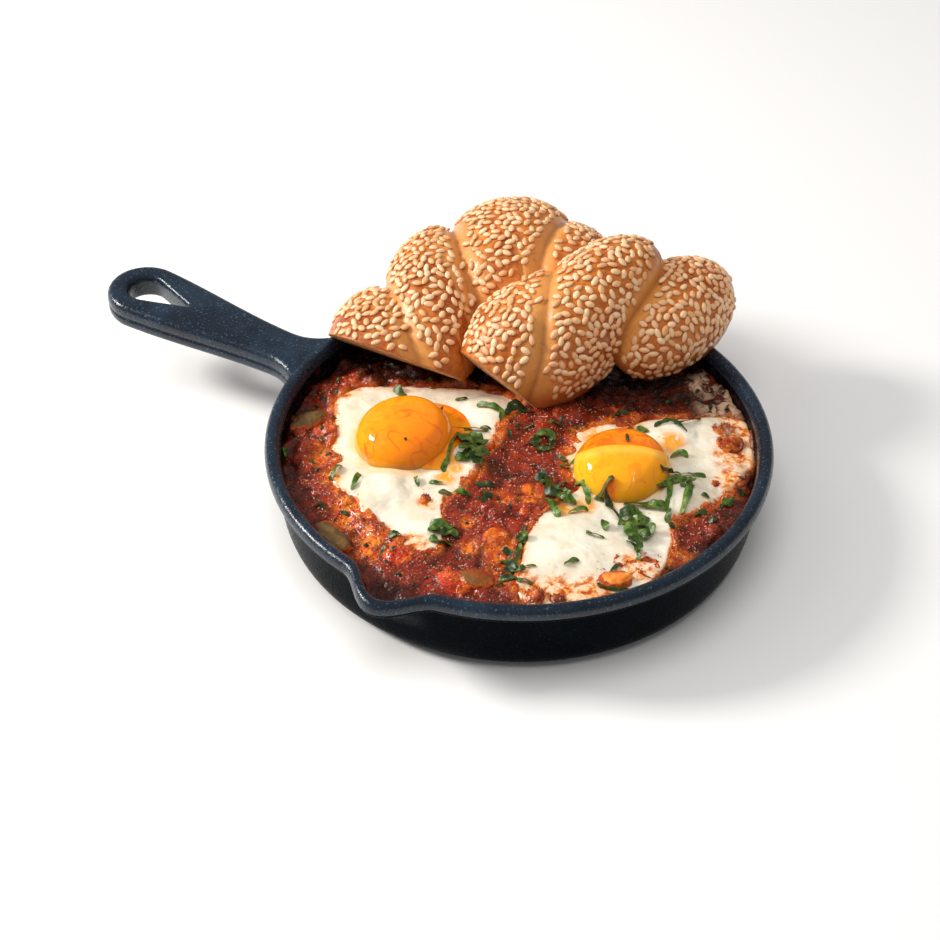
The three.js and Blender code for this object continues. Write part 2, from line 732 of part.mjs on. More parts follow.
const LOOKS = {
  iron: { color: 0x26323f, roughness: 0.55, metalness: 0.3 },
  sauce: { color: 0x9c2c12, roughness: 0.35 },
  white: { color: 0xf3eee2, roughness: 0.35 },
  yolk: { color: 0xf59a0a, roughness: 0.2 },
  herb: { color: 0x2c5a22, roughness: 0.6 },
  crust: { color: 0xd08a45, roughness: 0.55 },
};

function withoutAll(solid, spaces) {
  return spaces.reduce((left, space) => left.subtract(space), solid);
}

/** The egg whose white lies under a point, or -1 over the sauce. */
function eggUnder([x, y], margin) {
  return EGGS.findIndex(({ middle, reach }) => {
    const [dx, dy] = [x - middle[0], y - middle[1]];
    return Math.hypot(dx, dy) < reachAt(reach, THREE.MathUtils.radToDeg(Math.atan2(dy, dx))) + margin;
  });
}

/** Pieces of tomato that stand out of the sauce between the eggs. */
function tomatoPieces() {
  const draw = drawFrom(3);
  const pieces = [];
  const places = [];
  while (pieces.length < TOMATO_PIECES) {
    const angle = draw() * 2 * Math.PI;
    const radius = 69 * Math.sqrt(draw());
    const at = [radius * Math.cos(angle), radius * Math.sin(angle)];
    const size = THREE.MathUtils.lerp(...TOMATO_HALF, draw());
    const apart = ([x, y]) => Math.hypot(x - at[0], y - at[1]);
    const crowded = places.some((place) => apart(place) < TOMATO_SPACING);
    const underSprig = SPRIGS.some((place) => apart(place.at) < place.reach + size);
    if (crowded || underSprig || eggUnder(at, 2) >= 0) continue;
    const half = [size, size * 0.75, 2.2];
    const heading = draw() * 180;
    places.push(at);
    pieces.push(lump({ at: [...at, sauceTop(...at)], half, heading, uneven: 0.35, sides: 6, rows: 4 }, draw));
  }
  return pieces;
}

const panSpace = skillet(GAP);
const [backRoll, frontRoll] = ROLLS;
const breadSpaces = ROLLS.map(breadSpace);
const breads = [
  bread(backRoll, [frontRoll]).subtract(panSpace),
  bread(frontRoll, [backRoll]).subtract(panSpace).subtract(breadSpaces[0]),
];

const drawVegetable = drawFrom(5);
const vegetables = VEGETABLES.map(({ at, half, heading }) =>
  lump({ at, half, heading, uneven: 0.3, sides: 8, rows: 5 }, drawVegetable));
const vegetableSpaces = VEGETABLES.map(({ at, half, heading }) => {
  const room = half.map((length) => length * 1.17 + GAP);
  return lump({ at, half: room, heading, uneven: 0, sides: 8, rows: 4 }, () => 0.5);
});

const drawSprig = drawFrom(8);
const sprigs = SPRIGS.map((place) => sprig(place, drawSprig));

/** The loose shreds over one egg, or with -1 over the sauce, grown for the space that they need. */
function shredsOver(egg, grow) {
  return LOOSE_SHREDS.filter(({ at }) => eggUnder(at, 0) === egg).map(({ at, heading }) =>
    shred({ at, heading, half: 3.2, lift: 0, curl: 0.8 }, grow));
}

const sauceFilled = wasm.Manifold.union([sauceBody(), ...tomatoPieces(), ...shredsOver(-1, 0)]);
const sauce = withoutAll(sauceFilled, [
  panSpace,
  ...EGGS.map(whitePocket),
  ...vegetableSpaces,
  ...breadSpaces,
  ...shredsOver(0, GAP),
  ...shredsOver(1, GAP),
]);
const whites = EGGS.map((egg, i) =>
  withoutAll(wasm.Manifold.union([eggWhite(egg), ...shredsOver(i, 0)]), [
    panSpace,
    yolk(egg, GAP),
    ...vegetableSpaces,
    ...breadSpaces,
    ...shredsOver(-1, GAP),
  ]));

// ---- the model ----

const model = new THREE.Group();
model.add(meshOf("skillet", skillet(0), LOOKS.iron));
model.add(meshOf("tomato_sauce", sauce, LOOKS.sauce));
EGGS.forEach((egg, i) => {
  model.add(meshOf(`egg_white_${egg.side}`, whites[i], LOOKS.white));
  model.add(meshOf(`egg_yolk_${egg.side}`, yolk(egg, 0), LOOKS.yolk));
});
VEGETABLES.forEach(({ name, colour }, i) => {
  model.add(meshOf(name, vegetables[i].subtract(panSpace), { color: colour, roughness: 0.5 }));
});
SPRIGS.forEach(({ name }, i) => model.add(meshOf(name, sprigs[i], LOOKS.herb)));
ROLLS.forEach(({ name }, i) => model.add(meshOf(name, breads[i], LOOKS.crust)));

export default model;
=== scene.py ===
"""A shakshuka in its small cast-iron skillet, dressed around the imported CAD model.

Lengths are in millimetres in the part's own frame until a mesh is made: the origin is the centre
of the skillet's flat underside, +Z is up and the handle runs along -X.
"""

import math

import bmesh
import bpy
import numpy as np
from mathutils import Matrix, Vector


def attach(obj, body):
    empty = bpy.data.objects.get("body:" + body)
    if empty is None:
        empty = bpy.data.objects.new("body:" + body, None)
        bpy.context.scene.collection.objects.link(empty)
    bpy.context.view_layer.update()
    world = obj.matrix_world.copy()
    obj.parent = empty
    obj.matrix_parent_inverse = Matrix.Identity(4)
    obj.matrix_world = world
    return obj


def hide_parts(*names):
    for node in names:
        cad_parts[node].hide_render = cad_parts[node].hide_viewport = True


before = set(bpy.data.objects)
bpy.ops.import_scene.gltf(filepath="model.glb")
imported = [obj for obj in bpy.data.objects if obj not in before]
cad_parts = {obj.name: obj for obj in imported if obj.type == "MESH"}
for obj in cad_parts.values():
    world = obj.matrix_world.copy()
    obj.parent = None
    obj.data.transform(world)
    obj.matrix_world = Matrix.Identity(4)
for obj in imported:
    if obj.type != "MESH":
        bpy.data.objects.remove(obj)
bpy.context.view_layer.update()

MM = 0.001

# ---- the skillet, with the CAD model's dimensions ----

RIM_RADIUS = 82.5
RIM_TOP = 30.5
WALL_INSIDE = 77.4
FLOOR_THICK = 4
LIP_REACH = 9
LIP_HALF_ANGLE = 11.5
LIP_STARTS = 13
HANDLE_ROOT = RIM_RADIUS - 3.5
HANDLE_END = 165
HANDLE_END_HALF_WIDTH = 14
HANDLE_WAIST_HALF_WIDTH = 8.3
HANDLE_WAIST = 94
HANDLE_FLARE = 7
HANDLE_TOP = RIM_TOP - 0.2
HANDLE_THICK = 9
HANDLE_RISE = 5
HOLE_RADIUS = 6.4
HOLE_CENTRE = 151
HOLE_POINT = 132

RING_STEPS = 400
BEAD_SHINES_FROM = 27.2

# The bowl's outline from the rim of its underside over its wall to its floor: radius, height.
BOWL_PROFILE = [
    (70.6, 0), (74.4, 0.9), (77, 3.2), (78.2, 6.4), (78.9, 12), (79.5, 19.8), (79.9, 24.2),
    (80.3, 25.0), (81.9, 25.3), (82.6, 26.8), (82.5, 28.8), (81.6, 30.2), (80, 30.7),
    (78.5, 30.1), (77.7, 28.7), (77.3, 26), (77, 22), (76.4, 14), (75, 9), (72, 5.6), (67, 4.1),
]

# How far each level of the handle's edge lies inside its outline, and its height above the
# underside, from the top. The same for its hole, where the levels lie outside the outline.
HANDLE_SIDE = [
    (3.4, 9), (2.5, 8.96), (1.7, 8.78), (1, 8.35), (0.5, 7.75), (0.16, 7), (0.03, 6.2), (0, 5),
    (0.12, 4.5), (0.55, 4.1), (0.55, 3.75), (0.1, 3.4), (0, 3), (0, 1.6), (0.3, 0.75),
    (0.9, 0.2), (1.8, 0),
]
HOLE_SIDE = [
    (-1.7, 9), (-1.1, 8.9), (-0.6, 8.6), (-0.25, 8.15), (-0.05, 7.5), (0, 6.5), (0, 1.6),
    (-0.3, 0.8), (-0.9, 0.2), (-1.6, 0),
]

# ---- the food, in the CAD model's places but for the yolks and whites, drawn to the photo again ----

SAUCE_AT_WALL = 22.4
SAUCE_DOME = 2.2
SAUCE_RADIUS = 77.2
SAUCE_GRID = 256
UNDERSIDE_RADIUS = 74.8
UNDERSIDE_HEIGHT = 12
WHITE_PROUD = 0.9
YOLK_DEPTH = 3
SERVED_FROM = 29.5  # degrees from -Y towards +X: the side that the dish is seen from

# An egg: its yolk, the height of the fold over it, its deep orange spots (x, y, radius), and how far
# its white reaches from its middle (degrees from +X, reach).
EGGS = [
    {
        "side": "left",
        "draw": 5,
        "fold": 20,
        "deep": [],
        "middle": (-33, -18.5),
        "yolk": {"at": (-33.4, -17), "half": (15.9, 16.8), "height": 10.4},
        "reach": [
            (-167, 25), (-152, 24), (-136, 22.5), (-118, 28), (-103, 30.5), (-87, 33), (-76, 39),
            (-66, 43), (-59, 46), (-52, 53), (-46, 50.5), (-42, 44), (-38, 36), (-28, 32), (-6, 28.5),
            (12, 28), (27, 30), (40, 32), (49, 37), (56, 45), (66, 42.5), (78, 39), (95, 33.5),
            (122, 31), (150, 34.5), (163, 34.5), (178, 28),
        ],
    },
    {
        "side": "right",
        "draw": 61,
        "fold": 8.3,
        "deep": [(38.5, -11.5, 3.4)],
        "middle": (36.5, 1.5),
        "yolk": {"at": (35.3, 4.3), "half": (15.5, 16.1), "height": 10.2},
        "reach": [
            (-168, 19), (-150, 15.5), (-125, 17.5), (-114, 35), (-107, 44), (-101, 52), (-96, 61),
            (-91, 65), (-84, 65), (-77, 63), (-70, 58.5), (-61, 55), (-50, 45.5), (-40, 37), (-23, 25),
            (-7, 28.5), (12, 32), (25, 38), (36, 44), (50, 49), (66, 52), (86, 36), (98, 32),
            (112, 27), (135, 28), (149, 26), (165, 23),
        ],
    },
]

# Swells of the whites: x, y, radius; and their height.
SWELLS = [(35.5, -32.9, 13), (41.2, 28.5, 8), (-28, -42, 9), (-57, -10, 8), (58, 6, 8), (-17, 8, 8)]
SWELL_HEIGHT = 1.3

# Where sauce and oil stain the whites, and where yolk has run out: x, y, radius.
STAINS = [
    (44, -55, 9), (52, -49, 8), (35, -58, 7), (27, -52, 5), (64, 30, 8), (62, 42, 8), (67, 18, 6),
    (58, -33, 6), (-62, -5, 4), (-11, -40, 3.4), (-44, -44, 4), (-6, -57, 5), (56, 50, 7),
]
RUNNY = [
    (-12, -27, 4), (-11, -22, 3), (-15, -20, 4), (28, -21, 4), (33, -17, 4), (22, -9, 4), (21, 15, 5),
    (29, 25, 5), (44, 24, 5), (52, 8, 3),
]

# Where yolk has run over the left white: degrees from +X and reach from the yolk's middle.
YOLK_RUN = [
    (-75, 13), (-50, 14.5), (-34, 17.5), (-22, 20), (-6, 19), (12, 18.5), (35, 22.3), (51, 22.5),
    (67, 22.6), (82, 22), (100, 20), (114, 18.3), (130, 16.4), (150, 14), (-150, 12), (-110, 12),
]
YOLK_RUN_THICK = 1.3

# Where sauce lies over the whites: x, y, radius.
ISLANDS = [
    (-12.5, -38.3, 2.6), (60, 34, 4.5), (55, 40, 3.5), (69, 21, 2), (37, -59, 3), (44, -57, 2.4),
    (61, -30, 5), (53, -33, 3), (48.5, -38, 2.5), (64, 14, 1.5), (-53, 16, 3),
]

# Where the sauce lies lower by the wall: x, y, radius.
SUNK = [(-76, -14, 8), (-75, 3, 9), (-71, 21, 8), (-72, -34, 5)]
SUNK_DEPTH = 2

# Where fresh red sauce stands by the wall: x, y, radius; and its pieces of tomato, as in
# sauce_pieces.
FRESH = [(-68.5, 0.5, 8.5), (-70, -9, 5)]
FRESH_PIECES = [
    (-67.5, 2, 5.2, 25, 2.4, 0.62), (-70.5, -4.5, 4.2, 70, 2.2, 0.55), (-65.5, -4, 3.6, 120, 1.6, 0.5),
    (-63.5, 5, 3.4, 0, 1.5, 0.6),
]

# Where oil stands on the sauce: x, y, radius.
OIL = [
    (16.4, -45.3, 5), (60, -22, 4),
    (-54, -33, 5), (-53, -38, 4), (-45, -44, 4), (-33, -53, 6), (-29, -58, 5), (-19, -60, 6),
    (-17, -66, 5), (17, -43, 5), (20, -49, 5), (24, -56, 5), (9, -26, 4), (15, -20, 5), (10, -50, 3),
    (63, -26, 6), (67, -20, 5), (50, -36, 4), (-12, -3, 4), (69, 14, 5), (4, -41, 3), (-57, -14, 3),
]

# Where egg white has set in streaks on the sauce: x, y, radius.
MILKY = [(50, 52, 9), (39, 60, 7), (62, 40, 7), (-10, 22, 5)]

# Pieces of vegetable: node, middle, half lengths, heading.
VEGETABLES = [
    ("aubergine_front", (-30, -65.5, 22.2), (8.5, 4.6, 3.4), -22),
    ("aubergine_left", (-67.5, -22.2, 22.2), (7.5, 4.2, 3.2), 70),
    ("pepper_front", (18, -61, 23.4), (6.2, 3.8, 2.6), 8),
    ("onion_right", (55, -41, 24.2), (5.2, 3.4, 2.6), 35),
]

# Sprigs of herb: node, middle and reach.
SPRIGS = [
    ("herbs_centre", (-12.8, -12.6), 7.5),
    ("herbs_right", (50.5, -19.5), 9),
    ("herbs_middle", (20, -14.5), 7),
    ("herbs_far_right", (57, 8.5), 8.5),
    ("herbs_left", (0.5, -47.5), 5.5),
    ("herbs_front", (25, -50), 8),
    ("herbs_back", (6.5, 5), 5),
]

# Ribbons cut from herb leaves: width, brightness from 0 to 1, and the points that each runs through.
RIBBONS = {
    "herbs_far_right": [
        (2.7, 0.1, [(49, 4), (50.5, 9), (52.8, 12)]), (1.4, 0.6, [(52.8, 11), (56, 13), (60, 15.5)]),
        (2.5, 0.75, [(49.5, -0.5), (52.5, 5.5), (56, 10.5)]),
        (1.9, 0.7, [(52.5, 4), (54.3, -1), (55.5, -6)]),
        (2.2, 0.8, [(57, 9.5), (58.8, 4.5), (60.5, -5)]),
        (2, 0.5, [(55.2, 6), (57.2, 5.5), (59.2, 7.5)]),
    ],
    "herbs_right": [
        (2.4, 0.65, [(43, -10.5), (50, -7.3), (56, -5.5)]),
        (1.8, 0.45, [(56, -4.5), (57, -7), (58, -10.5)]),
        (2.1, 0.15, [(37, -11), (42, -15), (47.5, -18.5)]),
        (1.6, 0.4, [(51, -25), (55.5, -27), (58, -31)]),
    ],
    "herbs_middle": [
        (3, 0.2, [(12.8, -12.8), (16, -12.3), (18.5, -14.2), (20.5, -17.5)]),
        (2.7, 0.75, [(20.8, -20), (24, -22.5), (28.3, -25.8)]),
        (2.6, 0.9, [(23.5, -18.2), (27, -18), (30.3, -17.8)]),
        (2.2, 0.35, [(20.5, -15.5), (21.7, -12.7), (23, -10)]),
        (1.8, 0.5, [(21.5, -16.5), (23.8, -14.3), (27, -16)]),
    ],
    "herbs_back": [
        (1.7, 0.6, [(4, 4.5), (5.5, 8.3), (8, 9), (10, 4.5)]),
        (1.7, 0.4, [(10, 4.5), (10.2, 1.5), (6.5, 0)]), (1.4, 0.2, [(2, -0.8), (4.5, 0.3), (7.5, 0.5)]),
    ],
    "herbs_front": [
        (3.2, 0.85, [(20.8, -38.5), (24.3, -41)]),
        (1.9, 0.6, [(22.5, -41), (24.8, -46.5), (26.5, -52)]),
        (1.5, 0.35, [(20, -51), (22.5, -50), (25, -49.3)]),
        (1.8, 0.3, [(24, -57.5), (26.5, -56), (29.5, -55.3)]),
        (1.4, 0.4, [(29.5, -56), (32, -55), (34.5, -55)]),
        (1.5, 0.5, [(25.5, -53), (28, -52), (29.5, -50)]),
    ],
    "herbs_left": [
        (2.6, 0.7, [(-5, -48.8), (-1.5, -47), (2.5, -45)]),
        (2.4, 0.8, [(-2.5, -52.5), (0.8, -53.3), (4, -50.3)]),
        (1.8, 0.3, [(-3.5, -50.5), (-1, -49.5), (1.5, -48)]),
    ],
    "herbs_centre": [
        (2.1, 0.8, [(-19, -6), (-17, -15), (-13.8, -25.5)]),
        (1.6, 0.55, [(-19.5, -6.3), (-15.5, -3), (-11, -0.3)]),
        (3.6, 0.5, [(-18.5, -9.5), (-14, -8), (-9.5, -6.5)]),
    ],
    "": [
        (2.2, 0.9, [(25.5, -9), (28.5, -10), (31.5, -12.5), (33.5, -16.3)]),
        (2.6, 0.3, [(35, -12.3), (36.8, -10.3), (37.8, -8)]),
        (1.4, 0.6, [(30, -23), (32.3, -20.5), (35, -18.8)]), (1.6, 0.3, [(34, -13), (37.5, -12.5)]),
        (1.3, 0.65, [(38.8, -28), (40.3, -28.6), (44.8, -27.5)]),
        (2.4, 0.7, [(41.2, -20.3), (43.6, -24)]), (1.5, 0.3, [(14.2, -0.4), (17, -1.5), (19, -1)]),
        (1.7, 0.5, [(17.6, -4), (20, -4.7), (21.4, -1.8)]), (0.6, 0.6, [(29, -50), (32, -48)]),
        (1.8, 0.05, [(-1.7, -25.1), (2, -23.4), (5.4, -21)]),
        (1.6, 0.12, [(4.9, -26.5), (4.4, -29), (4.5, -32)]), (2, 0.05, [(1.5, -27.5), (5.5, -28)]),
        (2.2, 0.15, [(-11, 12.4), (-8.5, 15.2), (-5.5, 16)]),
        (1.5, 0.4, [(4.5, 12.8), (6, 14.6), (8, 15.1)]),
        (1.7, 0.1, [(21.7, 25.1), (23.2, 28.2), (25.5, 30.7)]), (1.6, 0.1, [(69, -3), (71.5, -0.5)]),
        (1.3, 0.3, [(-27.5, -26), (-26.5, -26.5)]),
        (1.3, 0.5, [(39.2, -43.8), (40.5, -41.5), (42.5, -40)]),
        (2, 0.55, [(-20.3, 8.3), (-16, 9), (-11.3, 9), (-9.8, 5.8)]),
        (1.6, 0.3, [(-28.8, 8.8), (-27.5, 10.4), (-26, 12)]),
        (1, 0.1, [(-32, 1.5), (-30, 0), (-26.5, -3.5)]),
        (1.8, 0.05, [(-9.8, 9.3), (-9.2, 12.5), (-7, 14.2), (-2, 16)]),
        (0.8, 0.1, [(-14, -0.5), (-12.5, 0.5), (-10.5, 0.6)]), (1.4, 0.1, [(-5.2, 2.6), (-3, 0.2)]),
        (2.9, 0.5, [(-50, 4.2), (-47, 2.6), (-44, 1.8)]),
        (1.7, 0.6, [(-44.3, -45), (-44.7, -41), (-45, -37.3)]),
        (1.8, 0.65, [(-34.8, -46.8), (-35.6, -43), (-36.2, -39.3)]),
        (1.3, 0.6, [(-15.3, -31.7), (-13, -31), (-11, -29.9)]),
        (2, 0.6, [(-10.3, -34.3), (-8, -33.5), (-5.8, -33.4)]),
        (1.9, 0.65, [(-5.6, -33), (-4, -32), (-1.8, -31.3)]),
        (1.5, 0.6, [(-20.3, -31.8), (-17, -35.3)]),
        (1.4, 0.1, [(-42.3, -57.2), (-40.5, -56.4), (-38.6, -57)]),
        (1.3, 0.1, [(-34.8, -55), (-30.5, -55)]), (1.8, 0.3, [(-14, -58.5), (-11, -55.8)]),
        (1.5, 0.4, [(-12.6, -65.3), (-11.8, -61.8)]), (1.2, 0.5, [(-66.5, -38.5), (-63.5, -41.5)]),
        (1.4, 0.15, [(35.8, 28), (38, 31), (40.5, 33), (46.3, 31)]),
        (1.2, 0.05, [(41, 32.5), (44, 36), (47, 41)]),
        (2.1, 0.85, [(46.3, 18), (48.2, 20.8), (51.3, 21)]),
        (2, 0.6, [(30.8, 23.8), (33, 25), (35, 25.6)]), (1.2, 0.1, [(33.4, 10.8), (35.5, 7.5)]),
        (3.2, 0.35, [(69, 9), (72.3, 7.2)]), (1.8, 0.1, [(62.6, 5.3), (65.3, 5.7)]),
        (1.6, 0.1, [(71.2, 15.2), (73.6, 12.8)]), (1.6, 0.15, [(64.2, -3.3), (65.5, -1.5), (67.2, 0)]),
        (1.8, 0.05, [(58.8, -9.8), (61.2, -12.8)]), (1.3, 0.1, [(51.8, -46), (52.3, -42), (53, -35)]),
        (1.2, 0.15, [(51.8, -46), (56.5, -44.8), (61, -42.5)]),
    ],
}

# Crumpled pieces of leaf: middle, half length, heading, brightness.
LEAVES = {
    "herbs_right": [
        ((46.3, -12.3), 2.8, 30, 0.35), ((50, -13), 3.4, -20, 0.6), ((48, -17.5), 3.6, 60, 0.7),
        ((52.3, -16), 3.2, 10, 0.4), ((55, -17.5), 2.8, 80, 0.55), ((51, -21), 3.4, -30, 0.75),
        ((54.2, -20.8), 2.6, 40, 0.5), ((53.5, -24.5), 3, 75, 0.3), ((56, -26.5), 2.2, 100, 0.45),
        ((45.5, -15.8), 2, 120, 0.25),
    ],
    "herbs_centre": [
        ((-13, -9), 4.2, 24, 0.5), ((-9.2, -8.2), 2.8, -30, 0.35), ((-11.5, -13.5), 3.6, 70, 0.4),
        ((-7.5, -14.8), 4.4, 12, 0.25), ((-6, -17.6), 2.8, -20, 0.15), ((-11, -17.5), 2.6, 35, 0.5),
    ],
    "herbs_middle": [
        ((16, -13.5), 2.4, -60, 0.15), ((21.3, -17.3), 2.6, 20, 0.1), ((25, -20), 1.8, 50, 0.5),
    ],
    "herbs_left": [
        ((-0.3, -49.3), 2.6, 40, 0.35), ((2.2, -47.6), 2.2, -10, 0.6), ((-3, -50.8), 2.2, 100, 0.7),
    ],
    "herbs_front": [
        ((25.5, -52.5), 2.2, 70, 0.1), ((21.8, -47.5), 1.8, 20, 0.15), ((22.8, -39.8), 2, 60, 0.5),
    ],
    "herbs_back": [((6.5, 6), 2.4, 40, 0.5), ((9.3, 5.8), 1.8, -50, 0.6), ((5.2, 2.8), 1.7, 10, 0.3)],
    "herbs_far_right": [((57.7, 7.2), 2, 30, 0.5)],
}

TOMATO_PIECES = 16
TOMATO_HALF = (3.6, 6)
TOMATO_SPACING = 9
TOMATO_TALL = 2.0
TOMATO_WITHIN = 69
SMALL_PIECES = 90
SMALL_WITHIN = 75
GRAINS = 25500
GRAINS_WITHIN = 75.8
FLECKS = 110
FLECKS_WITHIN = 74

# The clumps of thick sauce: size, depth and seed.
CLUMPS = [(7.5, 1.7, 110), (3.9, 1.4, 120), (2, 0.35, 130)]
TINTED_CLUMPS = 120  # the seed of those that differ in colour

WHITE_SPOKES = 420
WHITE_RINGS = 76
WHITE_EDGE = 2.4  # over which a white rounds off
WHITE_EDGE_THICK = 1.6
WHITE_DEPTH = 4
YOLK_SPOKES = 160
YOLK_RINGS = 56
RUN_RINGS = 40
VEGETABLE_FLATNESS = 0.72
LEAF_THICK = 0.15
LEAF_SHARP_ANGLE = 35
RIBBON_THICK = 0.14

# ---- the bread ----

# The strands of each half roll are ellipsoids in the roll's own frame: middle, half lengths and
# turn (heading, pitch, lean).
ROLLS = [
    {
        "name": "bread_back",
        "origin": (-47.4, 51.3, 28.5),
        "turn": (55.5, 2, 5),
        "core": (-34, 37, 12),
        "base": 1.2,
        "cut": {"distance": 26.4, "skew": -38.7, "undercut": 39.2},
        "strands": [
            ((-37.8, -10, 5.9), (20, 26.6, 14.8), (-33, 3, 4)),
            ((-16.2, -4.2, 7.1), (19.1, 35.3, 20.5), (-30, 0, 13)),
            ((17.1, 1, 8.9), (27.3, 32.8, 24.2), (-34, 0, 0)),
            ((29.9, -11.4, 10.1), (19.8, 25.1, 20.6), (-47, 0, -5)),
        ],
        "draw": 11,
        "cad_seeds": 50,
    },
    {
        "name": "bread_front",
        "origin": (1, 51.1, 27),
        "turn": (51.5, 4, 14),
        "core": (-20, 38, 12),
        "base": 3,
        "cut": {"distance": 27.5, "skew": -26.3, "undercut": 26.9},
        "strands": [
            ((-17.8, 4.2, 10.4), (30.9, 21.9, 22.8), (13, 8, 0)),
            ((-3.8, 4.3, 13.4), (18.9, 38.8, 23.3), (-67, 1, 11)),
            ((28.8, -1, 9), (18, 30.5, 17.8), (-62, 0, -12)),
        ],
        "draw": 29,
        "cad_seeds": 48,
    },
]

CRUST_ROWS = 200
CRUST_SIDES = 260
CAP_SHARE = 0.22  # of the rows, round each end
CREASE_SOFTNESS = 30
CREASE_DEPTH = 1.3
CREASE_WIDTH = 2.2
LEAST_CREASE_SLOPE = 0.12
BARE_BY_CREASE = 3.9
SEED = (1.75, 1.05, 0.65)  # half length, half width, half thickness
CAD_SEED_SPACING = 5.4
CAD_SEED_FROM_CUT = 3
CAD_SEED_TRIES = 9000
CAD_SEED_DRAWS = 11  # that the CAD model's seed takes for its own unevenness
CAD_LUMP_DRAWS = 19  # and its lump of tomato
SEED_SPACING = 2.35
SEED_FROM_CUT = 1.6
SEED_ABOVE_BASE = 4
SEED_CLEARANCE = 2.5  # from the other piece of bread
PROBE = 0.01  # of a roll's length or of a radian: the step that shows how its crust slopes
SEED_TRIES = 14000
CRUST_SLOT = 0
CRUMB_SLOT = 1

# ---- light, floor and camera: in metres, but the lens and its sensor in millimetres ----

CAMERA_AT = (0.19277, -0.37281, 0.3816)
CAMERA_PITCH = 48.67
CAMERA_LENS = 64.4
SENSOR = 36
FLOOR_REACH = 4
WORLD_STRENGTH = 0.26

# Name, place as seen from the camera (right, away, up), diameter, watts, colour, whether it shows as
# a glint.
LIGHTS = [
    ("key", (-0.93, 0.15, 0.6), 0.28, 11.5, (1, 0.965, 0.915), True),
    ("soft_key", (-0.9, 0.15, 0.8), 1, 2.5, (1, 0.965, 0.915), False),
    ("overhead", (-0.05, -0.2, 1.4), 1.1, 10, (1, 0.98, 0.95), False),
]

# ---- small helpers ----


def smooth(low, high, value):
    share = np.clip((value - low) / (high - low), 0, 1)
    return share * share * (3 - 2 * share)


def draw_from(seed):
    """A number from 0 to 1 that a seeded generator draws each time it is called."""
    state = [seed]

    def draw():
        state[0] = (state[0] * 1664525 + 1013904223) % 4294967296
        return state[0] / 4294967296

    return draw


def on_disc(draw, radius):
    """A random place on a disc, as an array of x and y."""
    angle, reach = draw() * 2 * math.pi, radius * math.sqrt(draw())
    return np.array([reach * math.cos(angle), reach * math.sin(angle)])


def lattice(x, y, z, seed):
    """A repeatable number from 0 to 1 for each point of a lattice."""
    mixed = (x * 374761393 + y * 668265263 + z * 1274126177 + seed * 974711) & 0xFFFFFFFF
    mixed = ((mixed ^ (mixed >> 13)) * 1274126177) & 0xFFFFFFFF
    return ((mixed ^ (mixed >> 16)) & 0xFFFF) / 65535.0


def noise(points, size, seed=0):
    """Smooth noise from -1 to 1 at points (n, 3), with features about size across."""
    scaled = np.asarray(points, float) / size
    corner = np.floor(scaled).astype(np.int64)
    share = scaled - corner
    share = share * share * (3 - 2 * share)
    total = np.zeros(len(scaled))
    for dx in (0, 1):
        for dy in (0, 1):
            for dz in (0, 1):
                weight = np.ones(len(scaled))
                for axis, step in enumerate((dx, dy, dz)):
                    weight = weight * (share[:, axis] if step else 1 - share[:, axis])
                total += weight * lattice(corner[:, 0] + dx, corner[:, 1] + dy, corner[:, 2] + dz, seed)
    return 2 * total - 1


def flat_noise(x, y, size, seed=0):
    return noise(np.stack([x, y, np.full_like(x, 0.37 * size)], 1), size, seed)


def clumps(x, y, size, seed):
    """Rounded heaps about size across: their height from 0 to 1, and a number for each heap."""
    column, row = np.floor(x / size).astype(np.int64), np.floor(y / size).astype(np.int64)
    height, which = np.zeros(len(x)), np.zeros(len(x))
    for i in (-1, 0, 1):
        for j in (-1, 0, 1):
            a, b = column + i, row + j
            pick = [lattice(a, b, 0 * a, seed + k) for k in range(4)]
            dx = x - (a + 0.15 + 0.7 * pick[0]) * size
            dy = y - (b + 0.15 + 0.7 * pick[1]) * size
            out = (dx**2 + dy**2) / (0.74 * size) ** 2
            dome = (0.4 + 0.6 * pick[2]) * np.sqrt(np.clip(1 - out, 0, 1))
            higher = dome > height
            height = np.where(higher, dome, height)
            which = np.where(higher, pick[3], which)
    return height, which


def blobs(x, y, places):
    total = np.zeros(len(x))
    for px, py, radius in places:
        total = np.maximum(total, smooth(1.3, 0.4, np.hypot(x - px, y - py) / radius))
    return total


def turned_axes(dx, dy, degrees):
    """A plan offset as lengths along and to the left of a heading."""
    c, s = math.cos(math.radians(degrees)), math.sin(math.radians(degrees))
    return dx * c + dy * s, dy * c - dx * s


def turned(heading=0, pitch=0, lean=0):
    """A turn by heading about Z, then pitch of the nose up, then lean sideways, in degrees."""
    about = lambda axis, degrees: Matrix.Rotation(math.radians(degrees), 4, axis)
    return about("Z", heading) @ about("Y", -pitch) @ about("X", lean)


def carried(matrix, points):
    array = np.array(matrix)
    return np.asarray(points) @ array[:3, :3].T + array[:3, 3]


def unit(vector):
    return vector / np.linalg.norm(vector)


# ---- meshes and pieces ----


def around(count):
    """Each number below count with the one after it, the last one with 0."""
    return [(j, (j + 1) % count) for j in range(count)]


def spokes(count):
    return np.arange(count) * 2 * np.pi / count


def quads(rows, columns, first=0, wrap=True):
    """Quads over a grid of rows of points, closed round each row where wrap is set."""
    row = np.arange(rows - 1)[:, None] * columns + first
    column = np.arange(columns if wrap else columns - 1)[None, :]
    after = (column + 1) % columns
    stack = [row + column, row + after, row + columns + after, row + columns + column]
    return np.stack([np.broadcast_to(part, stack[0].shape) for part in stack], -1).reshape(-1, 4).tolist()


